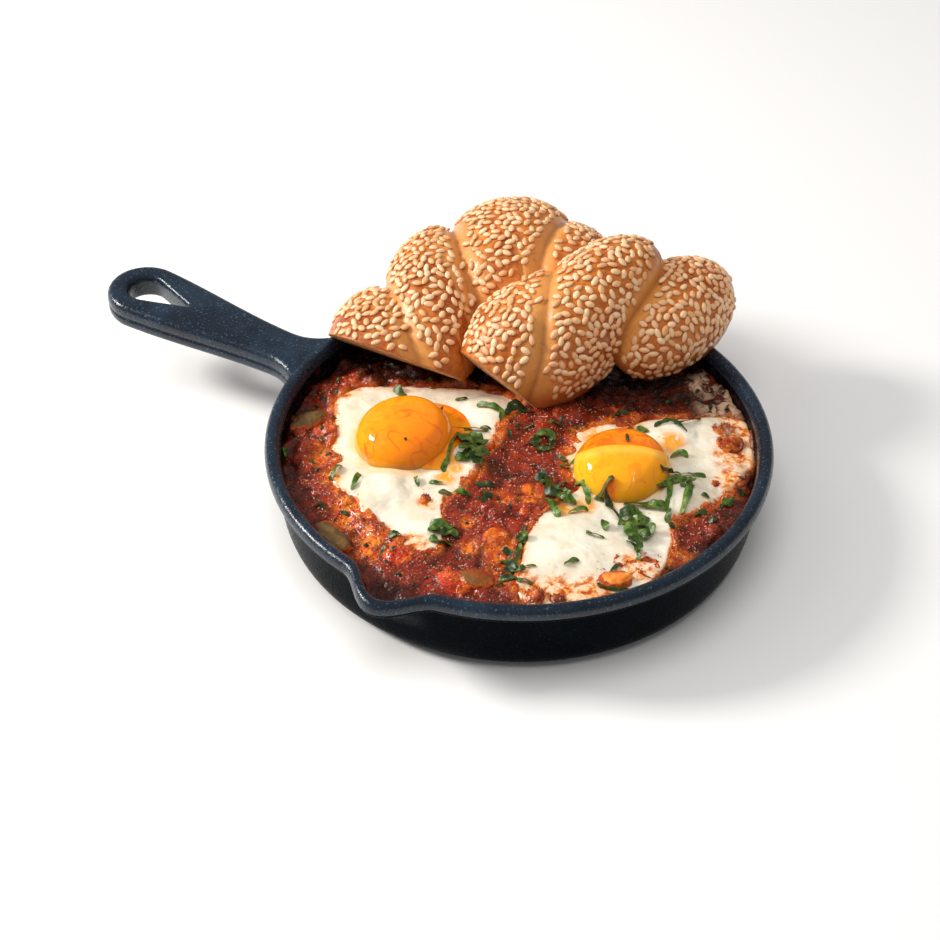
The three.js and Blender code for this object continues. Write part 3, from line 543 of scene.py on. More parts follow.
def closed_over(start, rings, end):
    """Points and faces of a closed surface over rings (r, n, 3), shut by a point at each end."""
    rows, columns, _ = rings.shape
    points = np.concatenate([[start], rings.reshape(-1, 3), [end]])
    faces = quads(rows, columns, first=1)
    last_row = 1 + (rows - 1) * columns
    for j, after in around(columns):
        faces.append([0, 1 + after, 1 + j])
        faces.append([len(points) - 1, last_row + j, last_row + after])
    return points, faces


def gathered(parts):
    """Several (points, faces, value) parts as one, with the value at each of their points."""
    points, faces, values, first = [], [], [], 0
    for part_points, part_faces, value in parts:
        points.append(part_points)
        faces.extend([[corner + first for corner in face] for face in part_faces])
        values.append(np.full(len(part_points), value))
        first += len(part_points)
    return np.concatenate(points), faces, np.concatenate(values)


def gathered_copies(shape, faces, frames, places):
    """Copies of one shape: frames (n, 3, 3) hold its axes as columns, places (n, 3) its middles."""
    points = np.einsum("nij,vj->nvi", frames, shape) + places[:, None]
    first = np.arange(len(places))[:, None, None] * len(shape)
    return points.reshape(-1, 3), (np.asarray(faces)[None] + first).reshape(-1, len(faces[0])).tolist()


def add_object(name, data):
    thing = bpy.data.objects.new(name, data)
    bpy.context.scene.collection.objects.link(thing)
    return thing


def turn_outwards(mesh):
    solid = bmesh.new()
    solid.from_mesh(mesh)
    bmesh.ops.recalc_face_normals(solid, faces=solid.faces)
    solid.to_mesh(mesh)
    solid.free()


def mesh_of(name, points, faces, looks=(), values=None, scale=MM):
    """A mesh with its faces turned outwards, its materials, and named values at its points."""
    mesh = bpy.data.meshes.new(name)
    mesh.from_pydata((np.asarray(points) * scale).tolist(), [], faces)
    for key, numbers in (values or {}).items():
        attribute = mesh.attributes.new(key, "FLOAT", "POINT")
        attribute.data.foreach_set("value", np.asarray(numbers, np.float32))
    for look in looks:
        mesh.materials.append(look)
    turn_outwards(mesh)
    return mesh


def add_piece(name, mesh, slot, replaces=()):
    """Puts a mesh on the root body, in place of the CAD nodes that it replaces."""
    piece = add_object(name, mesh)
    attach(piece, "root")
    if replaces:
        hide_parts(*replaces)


def add_smooth(name, points, faces, look, slot, replaces=(), values=None):
    """A piece of one material, shaded smoothly, from points in millimetres."""
    mesh = mesh_of(name, points, faces, [look], values)
    mesh.shade_smooth()
    add_piece(name, mesh, slot, replaces)
    return mesh


# ---- materials ----


def tone(red, green, blue):
    """A colour from its 0 to 255 screen values."""
    linear = [
        ((c / 255 + 0.055) / 1.055) ** 2.4 if c > 10 else c / 255 / 12.92 for c in (red, green, blue)
    ]
    return (*linear, 1)


class Look:
    """A material, with short calls for the nodes that feed its Principled shader.

    A colour is a socket, or three screen values from 0 to 255. A share is a socket or a number from
    0 to 1. Sizes and depths are in millimetres.
    """

    def __init__(self, name, **sockets):
        self.material = bpy.data.materials.new(name)
        self.material.use_nodes = True
        self.tree = self.material.node_tree
        self.shader = self.tree.nodes["Principled BSDF"]
        self.place = self.add("TexCoord").outputs["Object"]
        self.colour = None
        for socket, value in sockets.items():
            self.set(socket.replace("_", " "), value)

    def set(self, socket, value):
        self.feed(self.shader.inputs[socket], value)

    def feed(self, socket, value):
        if isinstance(value, bpy.types.NodeSocket):
            self.tree.links.new(value, socket)
        else:
            socket.default_value = value

    def add(self, kind, inputs=None, **settings):
        node = self.tree.nodes.new("ShaderNode" + kind)
        for key, value in settings.items():
            setattr(node, key, value)
        for key, value in (inputs or {}).items():
            self.feed(node.inputs[key], value)
        return node

    def vector(self, operation, *inputs, output=0):
        return self.add("VectorMath", dict(enumerate(inputs)), operation=operation).outputs[output]

    def value(self, name):
        return self.add("Attribute", attribute_name=name).outputs["Fac"]

    def noise(self, size, detail=3, roughness=0.55, warp=0):
        """Noise from 0 to 1 with features about size across."""
        inputs = {"Vector": self.place, "Scale": 1 / (size * MM), "Detail": detail}
        return self.add("TexNoise", {**inputs, "Roughness": roughness, "Distortion": warp}).outputs[0]

    def span(self, value, low, high, to_low=0, to_high=1):
        """How far a value is on the way from low to high, eased, from to_low to to_high."""
        node = self.add("MapRange", interpolation_type="SMOOTHSTEP")
        for socket, number in zip(node.inputs, (value, low, high, to_low, to_high)):
            self.feed(socket, number)
        return node.outputs[0]

    def patches(self, low, high, *noise):
        """Patches where noise, given as for noise above, goes from low to high."""
        return self.span(self.noise(*noise), low, high)

    def sum(self, a, b, operation="ADD"):
        return self.add("Math", {0: a, 1: b}, operation=operation).outputs[0]

    def times(self, a, b):
        return self.sum(a, b, "MULTIPLY")

    def mix(self, share, a, b):
        node = self.add("Mix", {0: share}, data_type="RGBA")
        for socket, colour in zip((node.inputs[6], node.inputs[7]), (a, b)):
            self.feed(socket, tone(*colour) if isinstance(colour, tuple) else colour)
        return node.outputs[2]

    def paint(self, colour, share=None, strength=1):
        """Lays a colour over what is painted so far, by a share times a strength."""
        if strength != 1:
            share = self.times(share, strength)
        self.colour = colour if self.colour is None else self.mix(share, self.colour, colour)
        self.set("Base Color", self.colour)

    def bump(self, height, depth, normal=None):
        """Relief of a depth from a height of 0 to 1, on top of a normal's."""
        inputs = {"Height": height, "Distance": depth * MM, "Strength": 1}
        if normal:
            inputs["Normal"] = normal
        return self.add("Bump", inputs).outputs["Normal"]

    def wet(self, normal):
        """Gives the surface and the gloss over it the same relief."""
        self.set("Normal", normal)
        self.set("Coat Normal", normal)


def iron_look(name, shine, dark, light, speck):
    look = Look(name, Specular_IOR_Level=shine)
    look.paint(look.mix(look.patches(0.35, 0.7, 16, 3), dark, light))
    # Light specks: painted sparkle of the pitted iron.
    look.paint(speck, look.patches(0.6, 0.72, 0.75, 2), 0.6)
    height = look.add("SeparateXYZ", {"Vector": look.place}).outputs["Z"]
    radius = look.vector("LENGTH", look.vector("MULTIPLY", look.place, (1, 1, 0)), output="Value")
    inside = look.span(radius, 78.1 * MM, 77.4 * MM)
    low = look.times(look.span(height, 29 * MM, 22.5 * MM), look.span(height, 11 * MM, 15 * MM))
    crust = look.times(look.times(inside, low), look.patches(0.52, 0.62, 2.6, 4, 0.7))
    look.paint(look.mix(look.noise(1.5, 2), (20, 9, 6), (96, 42, 18)), crust)
    look.set("Roughness", look.span(look.noise(0.9, 3), 0.3, 0.7, 0.12, 0.32))
    relief = look.bump(look.noise(1.1, 3, 0.6), 0.15)
    look.set("Normal", look.bump(look.noise(0.5, 2), 0.06, relief))
    return look.material


def sauce_look():
    look = Look("tomato_sauce", Coat_Weight=1, Coat_Roughness=0.04, Coat_IOR=1.6, Specular_IOR_Level=0.1)
    look.set("Subsurface Weight", 0.08)
    look.set("Subsurface Scale", 1.2 * MM)
    look.set("Subsurface Radius", (1, 0.2, 0.08))
    pulp = look.noise(3.2, 4, 0.55, 0.5)
    # The clumps are painted darker low down and lighter on top: painted shade in the hollows between
    # them.
    deep = look.mix(look.span(pulp, 0.35, 0.65), (54, 12, 4), (98, 25, 6))
    lit = look.mix(look.span(pulp, 0.3, 0.7), (126, 30, 8), (158, 47, 14))
    look.paint(look.mix(look.span(look.value("relief"), -0.9, 0.5), deep, lit))
    heap = look.mix(look.patches(0.4, 0.6, 4, 3), (172, 44, 8), (92, 28, 8))
    look.paint(heap, look.span(look.value("heap"), 0.6, 0.75), 0.7)
    piece = look.mix(look.patches(0.4, 0.6, 5, 2), (206, 54, 12), (238, 104, 26))
    look.paint(piece, look.span(look.value("bright"), 0.5, 0.9))
    oil = look.mix(look.patches(0.36, 0.64, 2.6, 3, 0.5), (206, 72, 8), (244, 134, 24))
    look.paint(oil, look.times(look.value("oily"), look.patches(0.3, 0.52, 4.2, 3, 0.55, 0.8)))
    look.paint((112, 50, 18), look.patches(0.56, 0.7, 6, 4, 0.6, 0.5), 0.5)
    # Painted shade of the bread at the back of the sauce, and darker sauce by the wall.
    uneven = look.span(look.noise(5, 4), 0.3, 0.6, 0.6, 1)
    look.paint((36, 11, 4), look.times(look.value("wall_dark_and_shade"), uneven))
    look.paint((216, 176, 144), look.times(look.value("milky"), look.patches(0.44, 0.6, 5, 4, 0.6, 0.9)))
    look.set("Roughness", look.span(look.noise(1, 3), 0.3, 0.7, 0.25, 0.5))
    lumps = look.bump(look.noise(2.3, 2, 0.5, 1.6), 0.55)
    look.set("Coat Normal", look.bump(look.noise(1.1, 1, 0.5, 2), 0.16, lumps))
    look.set("Normal", look.bump(look.noise(0.9, 2, 0.5, 0.5), 0.16, lumps))
    return look.material


def grain_look():
    look = Look("tomato_grains", Roughness=0.3, Coat_Weight=1, Coat_Roughness=0.04, Coat_IOR=1.7)
    tint = look.value("tint")
    look.paint(look.mix(look.span(tint, 0, 0.6), (104, 25, 6), (168, 50, 15)))
    # The palest grains are painted glints on the wet sauce, and partly pale tomato seeds.
    look.paint((244, 200, 164), look.span(tint, 0.68, 0.88))
    # Grains darker by the wall and in the painted shade under the bread.
    look.paint((44, 14, 5), look.value("wall_dark_and_shade"))
    look.paint((122, 36, 12), look.patches(0.52, 0.72, 6, 3))
    return look.material


def white_look():
    look = Look("egg_white", Coat_Weight=0.9, Coat_Roughness=0.09)
    look.set("Subsurface Weight", 0.3)
    look.set("Subsurface Scale", 3 * MM)
    look.set("Subsurface Radius", (1, 0.75, 0.5))
    look.paint(look.mix(look.patches(0.4, 0.62, 9, 4, 0.6, 0.5), (248, 240, 222), (234, 223, 198)))
    ragged_edge = look.sum(look.value("edge"), look.times(look.noise(2.2, 5, 0.72, 0.9), -9))
    look.paint((250, 206, 160), look.span(ragged_edge, 0.5, -2.6), 0.55)
    look.paint((228, 112, 26), look.span(ragged_edge, -2.2, -3.6))
    stain = look.value("stain")
    look.paint((248, 204, 160), look.times(stain, look.patches(0.25, 0.55, 5, 4, 0.6, 0.6)), 0.8)
    blotch = look.noise(3, 5, 0.64, 0.3)
    look.paint((240, 146, 52), look.times(stain, look.span(blotch, 0.46, 0.53)))
    look.paint((182, 70, 20), look.times(stain, look.span(blotch, 0.54, 0.6)))
    look.paint((236, 150, 70), look.patches(0.71, 0.76, 1.5, 2, 0.5, 0.4), 0.75)
    look.paint((250, 202, 140), look.value("film"), 0.75)
    look.paint((252, 166, 44), look.times(look.value("runny"), look.patches(0.3, 0.52, 2.6, 4, 0.6, 0.8)))
    look.set("Roughness", look.span(look.noise(5, 3), 0.3, 0.7, 0.22, 0.4))
    swells = look.bump(look.noise(9, 2, 0.5, 0.4), 1.1)
    soft = look.bump(look.noise(3.4, 2, 0.5, 0.5), 0.18, swells)
    look.wet(look.bump(look.noise(1.1, 2), 0.035, soft))
    return look.material


def yolk_look(name, light, deep_orange_and_shade, softness, veined=0):
    look = Look(name, Roughness=0.3, Coat_Weight=1, Coat_Roughness=0.03, Specular_IOR_Level=0.15)
    look.set("Subsurface Weight", softness)
    look.set("Subsurface Scale", 6 * MM)
    look.set("Subsurface Radius", (1, 0.6, 0.12))
    # Yellower on the side towards the key light and deeper orange on the side turned from it: partly the
    # yolk's own colour, partly painted shade.
    look.paint(look.mix(look.value("deep_orange_and_shade"), light, deep_orange_and_shade))
    look.paint(deep_orange_and_shade, look.patches(0.4, 0.65, 6, 4, 0.6, 2), 0.5)
    off_middle = look.sum(look.noise(10, 1, 0.5, 0.5), 0.5, "SUBTRACT")
    vein = look.span(look.sum(off_middle, 0, "ABSOLUTE"), 0.026, 0.0)
    look.paint((226, 100, 4), look.times(vein, look.patches(0.44, 0.56, 9, 2)), veined)
    look.paint((255, 220, 104), look.value("crest"), 0.4)
    flow = look.mix(look.patches(0.4, 0.6, 5, 4, 0.6, 0.6), (252, 150, 16), (240, 112, 4))
    look.paint(flow, look.value("deep"))
    look.paint((196, 84, 10), look.patches(0.73, 0.78, 1.4, 2))
    # Soft translucent food is lit as if it faced up more than it does.
    soft = look.vector("ADD", look.bump(look.noise(6, 2, 0.5, 1.4), 0.2), (0, 0, 1.8))
    look.set("Normal", look.vector("NORMALIZE", soft))
    beads = look.times(look.patches(0.58, 0.72, 1.3, 1), look.patches(0.42, 0.55, 9, 2))
    look.set("Coat Normal", look.bump(beads, 0.35, look.bump(look.noise(2.2, 1, 0.5, 0.8), 0.05)))
    return look.material


def crust_look():
    look = Look("crust", Coat_Weight=0.4, Coat_Roughness=0.2)
    look.set("Subsurface Weight", 0.08)
    look.set("Subsurface Scale", 2 * MM)
    look.paint(look.mix(look.patches(0.36, 0.66, 17, 4, 0.55, 0.5), (202, 112, 32), (158, 68, 12)))
    look.paint((226, 152, 76), look.patches(0.4, 0.65, 1.8, 4, 0.6), 0.35)
    look.paint((228, 160, 84), look.value("band"), 0.75)
    # Towards the roll's base a duller brown: partly the lower crust's own colour, partly painted shade
    # where the roll faces down.
    look.paint((190, 110, 46), look.value("low_crust_and_shade"), 0.5)
    look.paint((150, 70, 20), look.times(look.value("toast"), look.patches(0.45, 0.9, 4, 4, 0.65)))
    # Along the bottom of each crease a dark line: painted shade.
    look.paint((146, 78, 30), look.value("line"))
    look.set("Roughness", look.span(look.noise(6, 3), 0.3, 0.7, 0.34, 0.52))
    relief = look.bump(look.noise(2.2, 5, 0.62), 0.22)
    look.set("Coat Normal", relief)
    look.set("Normal", look.bump(look.noise(0.6, 3), 0.05, relief))
    return look.material


def crumb_look():
    look = Look("crumb", Roughness=0.8, Subsurface_Weight=0.2, Subsurface_Scale=2 * MM)
    cells = {"Vector": look.place, "Scale": 1 / (1.8 * MM)}
    pores = look.add("TexVoronoi", cells).outputs["Distance"]
    # The crumb is painted darker in the pits of its pores: painted shade.
    look.paint(look.mix(look.span(pores, 0.15, 0.6), (176, 118, 66), (222, 176, 122)))
    look.paint((198, 142, 86), look.patches(0.4, 0.7, 7, 3))
    look.set("Normal", look.bump(look.span(pores, 0.1, 0.5), 0.5))
    return look.material


def seed_look():
    look = Look("sesame_seed", Roughness=0.42, Coat_Weight=0.3, Coat_Roughness=0.25)
    look.set("Subsurface Weight", 0.15)
    look.set("Subsurface Scale", 1 * MM)
    look.paint(look.mix(look.value("tint"), (230, 168, 112), (250, 212, 168)))
    look.paint((200, 126, 62), look.span(look.value("tip"), 0.5, 1))
    look.set("Normal", look.bump(look.noise(0.8, 3), 0.05))
    return look.material


def herb_look():
    look = Look("herb", Roughness=0.4, Coat_Weight=0.5, Coat_Roughness=0.12)
    look.set("Subsurface Weight", 0.1)
    look.set("Subsurface Scale", 1 * MM)
    look.set("Subsurface Radius", (0.5, 1, 0.2))
    blotches = look.patches(0.36, 0.66, 1.9, 4, 0.6)
    bright = look.mix(blotches, (52, 94, 18), (122, 152, 54))
    dark = look.mix(blotches, (10, 22, 10), (34, 60, 20))
    look.paint(look.mix(look.value("tint"), dark, bright))
    look.wet(look.bump(look.noise(0.9, 4, 0.6), 0.28))
    return look.material


def vegetable_look(name, flesh, shade, skin):
    look = Look(name, Roughness=0.36, Coat_Weight=0.7, Coat_Roughness=0.08, Specular_IOR_Level=0.2)
    look.set("Subsurface Weight", 0.2)
    look.set("Subsurface Scale", 2 * MM)
    look.paint(look.mix(look.patches(0.35, 0.65, 4, 4, 0.6, 0.6), flesh, shade))
    look.paint(skin, look.value("skin"))
    sauce = look.mix(look.noise(1.6, 3), (120, 36, 10), (222, 104, 30))
    dipped = look.sum(look.value("dipped"), look.times(look.noise(2.6, 4, 0.6, 0.6), 1.2))
    look.paint(sauce, look.span(dipped, 0.85, 1.05))
    look.wet(look.bump(look.noise(1.3, 3, 0.6), 0.4))
    return look.material


# ---- the skillet ----


def rounded(points, times=2):
    """A polyline whose corners are cut a few times, with its ends kept."""
    line = np.array(points, float)
    for _ in range(times):
        before, after = line[:-1], line[1:]
        cut = np.stack([0.75 * before + 0.25 * after, 0.25 * before + 0.75 * after], 1).reshape(-1, 2)
        line = np.concatenate([line[:1], cut[1:-1], line[-1:]])
    return line


def lip_bulge(degrees, height):
    """How far the wall bulges out at an angle and a height, for the two pouring lips."""
    off = np.minimum(np.abs((degrees + 90 + 180) % 360 - 180), np.abs((degrees - 90 + 180) % 360 - 180))
    across = np.cos(np.minimum(off / LIP_HALF_ANGLE, 1) * np.pi) * 0.5 + 0.5
    return LIP_REACH * across * smooth(LIP_STARTS, RIM_TOP - 4, height)


def bowl():
    degrees = np.arange(RING_STEPS) * 360 / RING_STEPS
    angle = np.radians(degrees)
    rings = []
    for radius, height in rounded(BOWL_PROFILE):
        reach = radius + lip_bulge(degrees, height)
        rings.append(np.stack([reach * np.cos(angle), reach * np.sin(angle), 0 * angle + height], 1))
    return closed_over((0, 0, 0), np.array(rings), (0, 0, FLOOR_THICK))


def handle_half_width(distance):
    taper = smooth(HANDLE_WAIST - 4, HANDLE_END - 8, distance)
    straight = HANDLE_WAIST_HALF_WIDTH + (HANDLE_END_HALF_WIDTH - HANDLE_WAIST_HALF_WIDTH) * taper
    flare = np.maximum(0, HANDLE_WAIST - distance) / (HANDLE_WAIST - RIM_RADIUS + 3)
    return straight + HANDLE_FLARE * flare ** 2.4


def handle_outline():
    round_start = HANDLE_END - HANDLE_END_HALF_WIDTH
    distance = np.linspace(HANDLE_ROOT, round_start, 70)
    width = handle_half_width(distance)
    side = np.stack([-distance, width], 1)
    angle = np.linspace(np.pi / 2, -np.pi / 2, 46)[1:-1]
    tip = np.stack([-round_start - width[-1] * np.cos(angle), width[-1] * np.sin(angle)], 1)
    return np.concatenate([side, tip, side[::-1] * (1, -1)])


def hole_outline():
    lean = math.acos(HOLE_RADIUS / (HOLE_CENTRE - HOLE_POINT))
    angle = np.linspace(lean, 2 * np.pi - lean, 50)
    arc = np.stack([-HOLE_CENTRE + HOLE_RADIUS * np.cos(angle), HOLE_RADIUS * np.sin(angle)], 1)
    point = np.array([[-HOLE_POINT, 0]])
    share = np.linspace(0, 1, 12)[1:-1, None]
    down = arc[-1] + (point - arc[-1]) * share
    up = point + (arc[0] - point) * share
    return np.concatenate([arc, down, point + (0.25, 0), up])


def inset(outline, distance):
    """A closed outline moved to its left-hand side, which is inwards where it turns clockwise."""
    step = np.roll(outline, -1, 0) - np.roll(outline, 1, 0)
    step /= np.linalg.norm(step, axis=1)[:, None]
    return outline + distance * np.stack([step[:, 1], -step[:, 0]], 1)


def signed_area(outline):
    x, y = outline[:, 0], outline[:, 1]
    return 0.5 * np.sum(x * np.roll(y, -1) - np.roll(x, -1) * y)


def handle():
    """The handle as a mesh: its edge and its hole are lofted, and its two faces are filled in."""
    solid = bmesh.new()

    def lifted(x, height):
        along = max(0.0, (-x - HANDLE_ROOT) / (HANDLE_END - HANDLE_ROOT))
        return HANDLE_TOP - HANDLE_THICK + height + HANDLE_RISE * along**1.2

    def loft(outline, side):
        """Bands of faces from level to level of a side, and the loops at its two ends."""
        if signed_area(outline) > 0:
            outline = outline[::-1]
        at_root = outline[:, 0] > -HANDLE_ROOT - 0.01
        loops = []
        for distance, height in side:
            level = inset(outline, distance)
            level[at_root, 0] = outline[at_root, 0]
            loops.append([solid.verts.new((x, y, lifted(x, height))) for x, y in level])
        for upper, lower in zip(loops, loops[1:]):
            for j, after in around(len(outline)):
                solid.faces.new([upper[j], upper[after], lower[after], lower[j]])
        return loops[0], loops[-1]

    ends = loft(handle_outline(), HANDLE_SIDE), loft(hole_outline(), HOLE_SIDE)
    for loops in zip(*ends):
        pairs = [(loop[j], loop[after]) for loop in loops for j, after in around(len(loop))]
        edges = [solid.edges.get(pair) for pair in pairs]
        bmesh.ops.triangle_fill(solid, edges=edges, use_beauty=True, normal=(0, 0, 1))
    bmesh.ops.recalc_face_normals(solid, faces=solid.faces)
    mesh = bpy.data.meshes.new("handle")
    solid.to_mesh(mesh)
    solid.free()
    return mesh


def joined(base, other):
    """The union of two closed meshes as one new mesh."""
    pair = [add_object(mesh.name, mesh) for mesh in (base, other)]
    union = pair[0].modifiers.new("union", "BOOLEAN")
    union.operation = "UNION"
    union.solver = "MANIFOLD"
    union.object = pair[1]
    graph = bpy.context.evaluated_depsgraph_get()
    mesh = bpy.data.meshes.new_from_object(pair[0].evaluated_get(graph))
    for item in pair:
        bpy.data.objects.remove(item)
    return mesh


def make_skillet():
    mesh = joined(mesh_of("bowl", *bowl(), scale=1), handle())
    mesh.name = "iron_skillet"
    mesh.transform(Matrix.Scale(MM, 4))
    mesh.materials.clear()
    mesh.materials.append(iron_look("cast_iron", 0.45, (18, 29, 41), (30, 45, 60), (96, 116, 134)))
    # Below the bead the iron takes a darker copy of its look that hardly reflects: painted shade on the
    # bowl's walls and underside.
    mesh.materials.append(iron_look("cast_iron_shaded_wall", 0.01, (5, 9, 13), (9, 15, 21), (30, 38, 46)))
    for face in mesh.polygons:
        x, y, z = face.center
        on_bowl = math.hypot(x, y) < (RIM_RADIUS + LIP_REACH) * MM and x > -RIM_RADIUS * MM
        face.material_index = int(z < BEAD_SHINES_FROM * MM and on_bowl)
    turn_outwards(mesh)
    mesh.shade_smooth()
    add_piece("iron_skillet", mesh, "iron", ["skillet"])


# ---- levels in the pan ----


def sauce_level(x, y):
    return SAUCE_AT_WALL + SAUCE_DOME * (1 - (np.hypot(x, y) / WALL_INSIDE) ** 2)


def ripple(x, y):
    return 0.35 * np.sin(x / 5.1 + 1.3) * np.sin(y / 6.3 + 0.4) + 0.2 * np.sin((x + y) / 3.3)


def sauce_top(x, y):
    return sauce_level(x, y) + ripple(x, y)


def white_top(x, y):
    return sauce_level(x, y) + WHITE_PROUD + 0.6 * ripple(y, x)


def reach_at(points, degrees):
    """A closed curve's radius at angles, from (degrees, radius) points, rounded between them."""
    angle = np.array([point[0] for point in points], float)
    radius = np.array([point[1] for point in points], float)
    count = len(points)
    turn = (np.asarray(degrees, float) - angle[0]) % 360
    knots = (angle - angle[0]) % 360
    start = np.searchsorted(knots, turn, side="right") - 1
    before, end, after = (start - 1) % count, (start + 1) % count, (start + 2) % count
    span = (angle[end] - angle[start]) % 360
    t = (turn - knots[start]) / span
    slope_in = (radius[end] - radius[before]) / ((angle[end] - angle[before]) % 360) * span
    slope_out = (radius[after] - radius[start]) / ((angle[after] - angle[start]) % 360) * span
    t2, t3 = t * t, t * t * t
    rise = (2 * t3 - 3 * t2 + 1) * radius[start] + (t3 - 2 * t2 + t) * slope_in
    return rise + (3 * t2 - 2 * t3) * radius[end] + (t3 - t2) * slope_out


def smooth_reach(egg, angle):
    return reach_at(egg["reach"], np.degrees(angle))


def ragged_reach(egg, angle):
    """A white's reach at angles in radians, with its small tongues and bays."""
    x, y = 30 * np.cos(angle), 30 * np.sin(angle)
    ragged = 2.1 * flat_noise(x, y, 5.5, egg["draw"]) + 0.9 * flat_noise(x, y, 2.1, egg["draw"] + 1)
    return smooth_reach(egg, angle) + ragged


def egg_margin(egg, x, y, reach=ragged_reach):
    """How far points lie inside an egg white's outline, in millimetres."""
    dx, dy = x - egg["middle"][0], y - egg["middle"][1]
    return reach(egg, np.arctan2(dy, dx)) - np.hypot(dx, dy)


def eggs_margin(x, y):
    return np.max([egg_margin(egg, x, y) for egg in EGGS], axis=0)


def yolk_out(egg, x, y):
    """How far out points lie from a yolk's middle: 1 at its outline."""
    (cx, cy), (half_x, half_y) = egg["yolk"]["at"], egg["yolk"]["half"]
    return np.hypot((x - cx) / half_x, (y - cy) / half_y)


def beyond_yolk(egg, x, y):
    """About how far outside a yolk's outline points lie, in millimetres."""
    return (yolk_out(egg, x, y) - 1) * 15


def yolk_dome(egg, x, y):
    """A yolk's plain dome, from 0 at its outline to 1 at its middle."""
    return (1 - np.minimum(yolk_out(egg, x, y), 1) ** 3.6) ** 0.5


def yolk_surface(egg, x, y):
    """The top of a yolk, inside its outline."""
    dome = float(white_top(*egg["yolk"]["at"])) + egg["yolk"]["height"] * yolk_dome(egg, x, y)
    wave = 0.4 * flat_noise(x, y, 9, 3) + 0.14 * flat_noise(x, y, 3.6, 13)
    inside = 1 - np.minimum(yolk_out(egg, x, y), 1) ** 4
    return dome + wave * inside - 0.8 * egg_fold(egg, x, y)


def view_axes(dx, dy):
    """A plan offset as lengths to the right of and away from the side that the dish is served from."""
    return turned_axes(dx, dy, SERVED_FROM)


def above_fold(egg, x, y):
    """How far past the edge of a yolk's yellower part a point lies, in millimetres as it is seen."""
    across, away = view_axes(x - egg["yolk"]["at"][0], y - egg["yolk"]["at"][1])
    rise = 0.66 * away + 0.75 * egg["yolk"]["height"] * yolk_dome(egg, x, y)
    return rise - egg["fold"] + 0.014 * across**2 - 0.5 * flat_noise(x, y, 7, 12)


def egg_fold(egg, x, y):
    """How much a point of a yolk belongs to its lower, deeper orange part, from 0 to 1."""
    return smooth(-0.7, 0.7, above_fold(egg, x, y))


def white_surface(egg, x, y):
    """The top of an egg white, which rounds off over its edge and climbs a little to the yolk."""
    inside = np.clip(egg_margin(egg, x, y) / WHITE_EDGE, 0, 1)
    drop = 2.2 * (1 - np.sqrt(1 - (1 - inside) ** 2))
    wave = 1.0 * flat_noise(x, y, 15, egg["draw"]) + 0.55 * flat_noise(x, y, 7, egg["draw"] + 2)
    wave += 0.09 * flat_noise(x, y, 2.4, egg["draw"] + 3) + SWELL_HEIGHT * blobs(x, y, SWELLS)
    past_yolk = np.maximum(beyond_yolk(egg, x, y), 0)
    return white_top(x, y) + wave + 0.4 * np.exp(-past_yolk / 1.7) - drop


def sauce_relief(x, y):
    """The clumps of thick sauce: their height, how bright a tomato is there, and a tint for each."""
    warp_x = x + 1.6 * flat_noise(x, y, 5, 31) + 0.6 * flat_noise(x, y, 1.8, 36)
    warp_y = y + 1.6 * flat_noise(x, y, 5, 32) + 0.6 * flat_noise(x, y, 1.8, 37)
    height = 0.5 * flat_noise(x, y, 14, 21) - 2.0
    for size, depth, seed in CLUMPS:
        heaps, which = clumps(warp_x, warp_y, size, seed)
        height += depth * heaps
        if seed == TINTED_CLUMPS:
            tint = which
    height += 0.06 * flat_noise(x, y, 1.3, 25)
    calm = 0.55 * blobs(x, y, OIL)
    height = height * (1 - calm) - 0.9 * calm
    piece, bright = np.zeros(len(x)), np.zeros(len(x))
    for px, py, size, heading, tall, brightness in SAUCE_PIECES:
        near = (np.abs(x - px) < size) & (np.abs(y - py) < size)
        along, across = turned_axes(x[near] - px, y[near] - py, heading)
        out = (along / size) ** 2 + (across / (0.75 * size)) ** 2
        dome = tall * np.clip(1 - out, 0, 1) ** 0.45
        taller = dome > piece[near]
        piece[near] = np.where(taller, dome, piece[near])
        bright[near] = np.where(taller & (dome > 0.3), brightness, bright[near])
    return height + piece, bright, tint


def sauce_surface(x, y):
    """The top of the sauce, which laps unevenly over the edges of the whites and then dips away."""
    island = blobs(x, y, ISLANDS)
    margin = eggs_margin(x, y) - 25 * island
    relief, _, _ = sauce_relief(x, y)
    lap = 1.7 + 3.8 * flat_noise(x, y, 6.5, 33) + 1.4 * flat_noise(x, y, 2.4, 34)
    near_wall = smooth(72, 76.5, np.hypot(x, y))
    creep = near_wall * (0.5 + 1.1 * flat_noise(x, y, 5, 35))
    built_up = 1.1 * smooth(-6, -0.5, margin) + 1.9 * island
    top = sauce_top(x, y) + relief + creep + built_up - SUNK_DEPTH * blobs(x, y, SUNK)
    return top - 3.6 * smooth(lap - 0.4, lap + 0.8, margin)


def food_top(x, y):
    x, y = np.atleast_1d(np.asarray(x, float)), np.atleast_1d(np.asarray(y, float))
    top = sauce_surface(x, y)
    for egg in EGGS:
        top = np.where(egg_margin(egg, x, y) > 0, np.maximum(top, white_surface(egg, x, y)), top)
        top = np.where(yolk_out(egg, x, y) < 1, np.maximum(top, yolk_surface(egg, x, y)), top)
    return top


# ---- the sauce ----


def disc(count, radius):
    """A square grid bent into a disc, as x and y of count by count points."""
    line = np.linspace(-1, 1, count)
    a, b = np.meshgrid(line, line, indexing="ij")
    wide = np.abs(a) >= np.abs(b)
    safe_a, safe_b = np.where(a == 0, 1e-9, a), np.where(b == 0, 1e-9, b)
    reach = np.where(wide, a, b) * radius
    angle = np.where(wide, np.pi / 4 * b / safe_a, np.pi / 2 - np.pi / 4 * a / safe_b)
    return reach * np.cos(angle), reach * np.sin(angle)


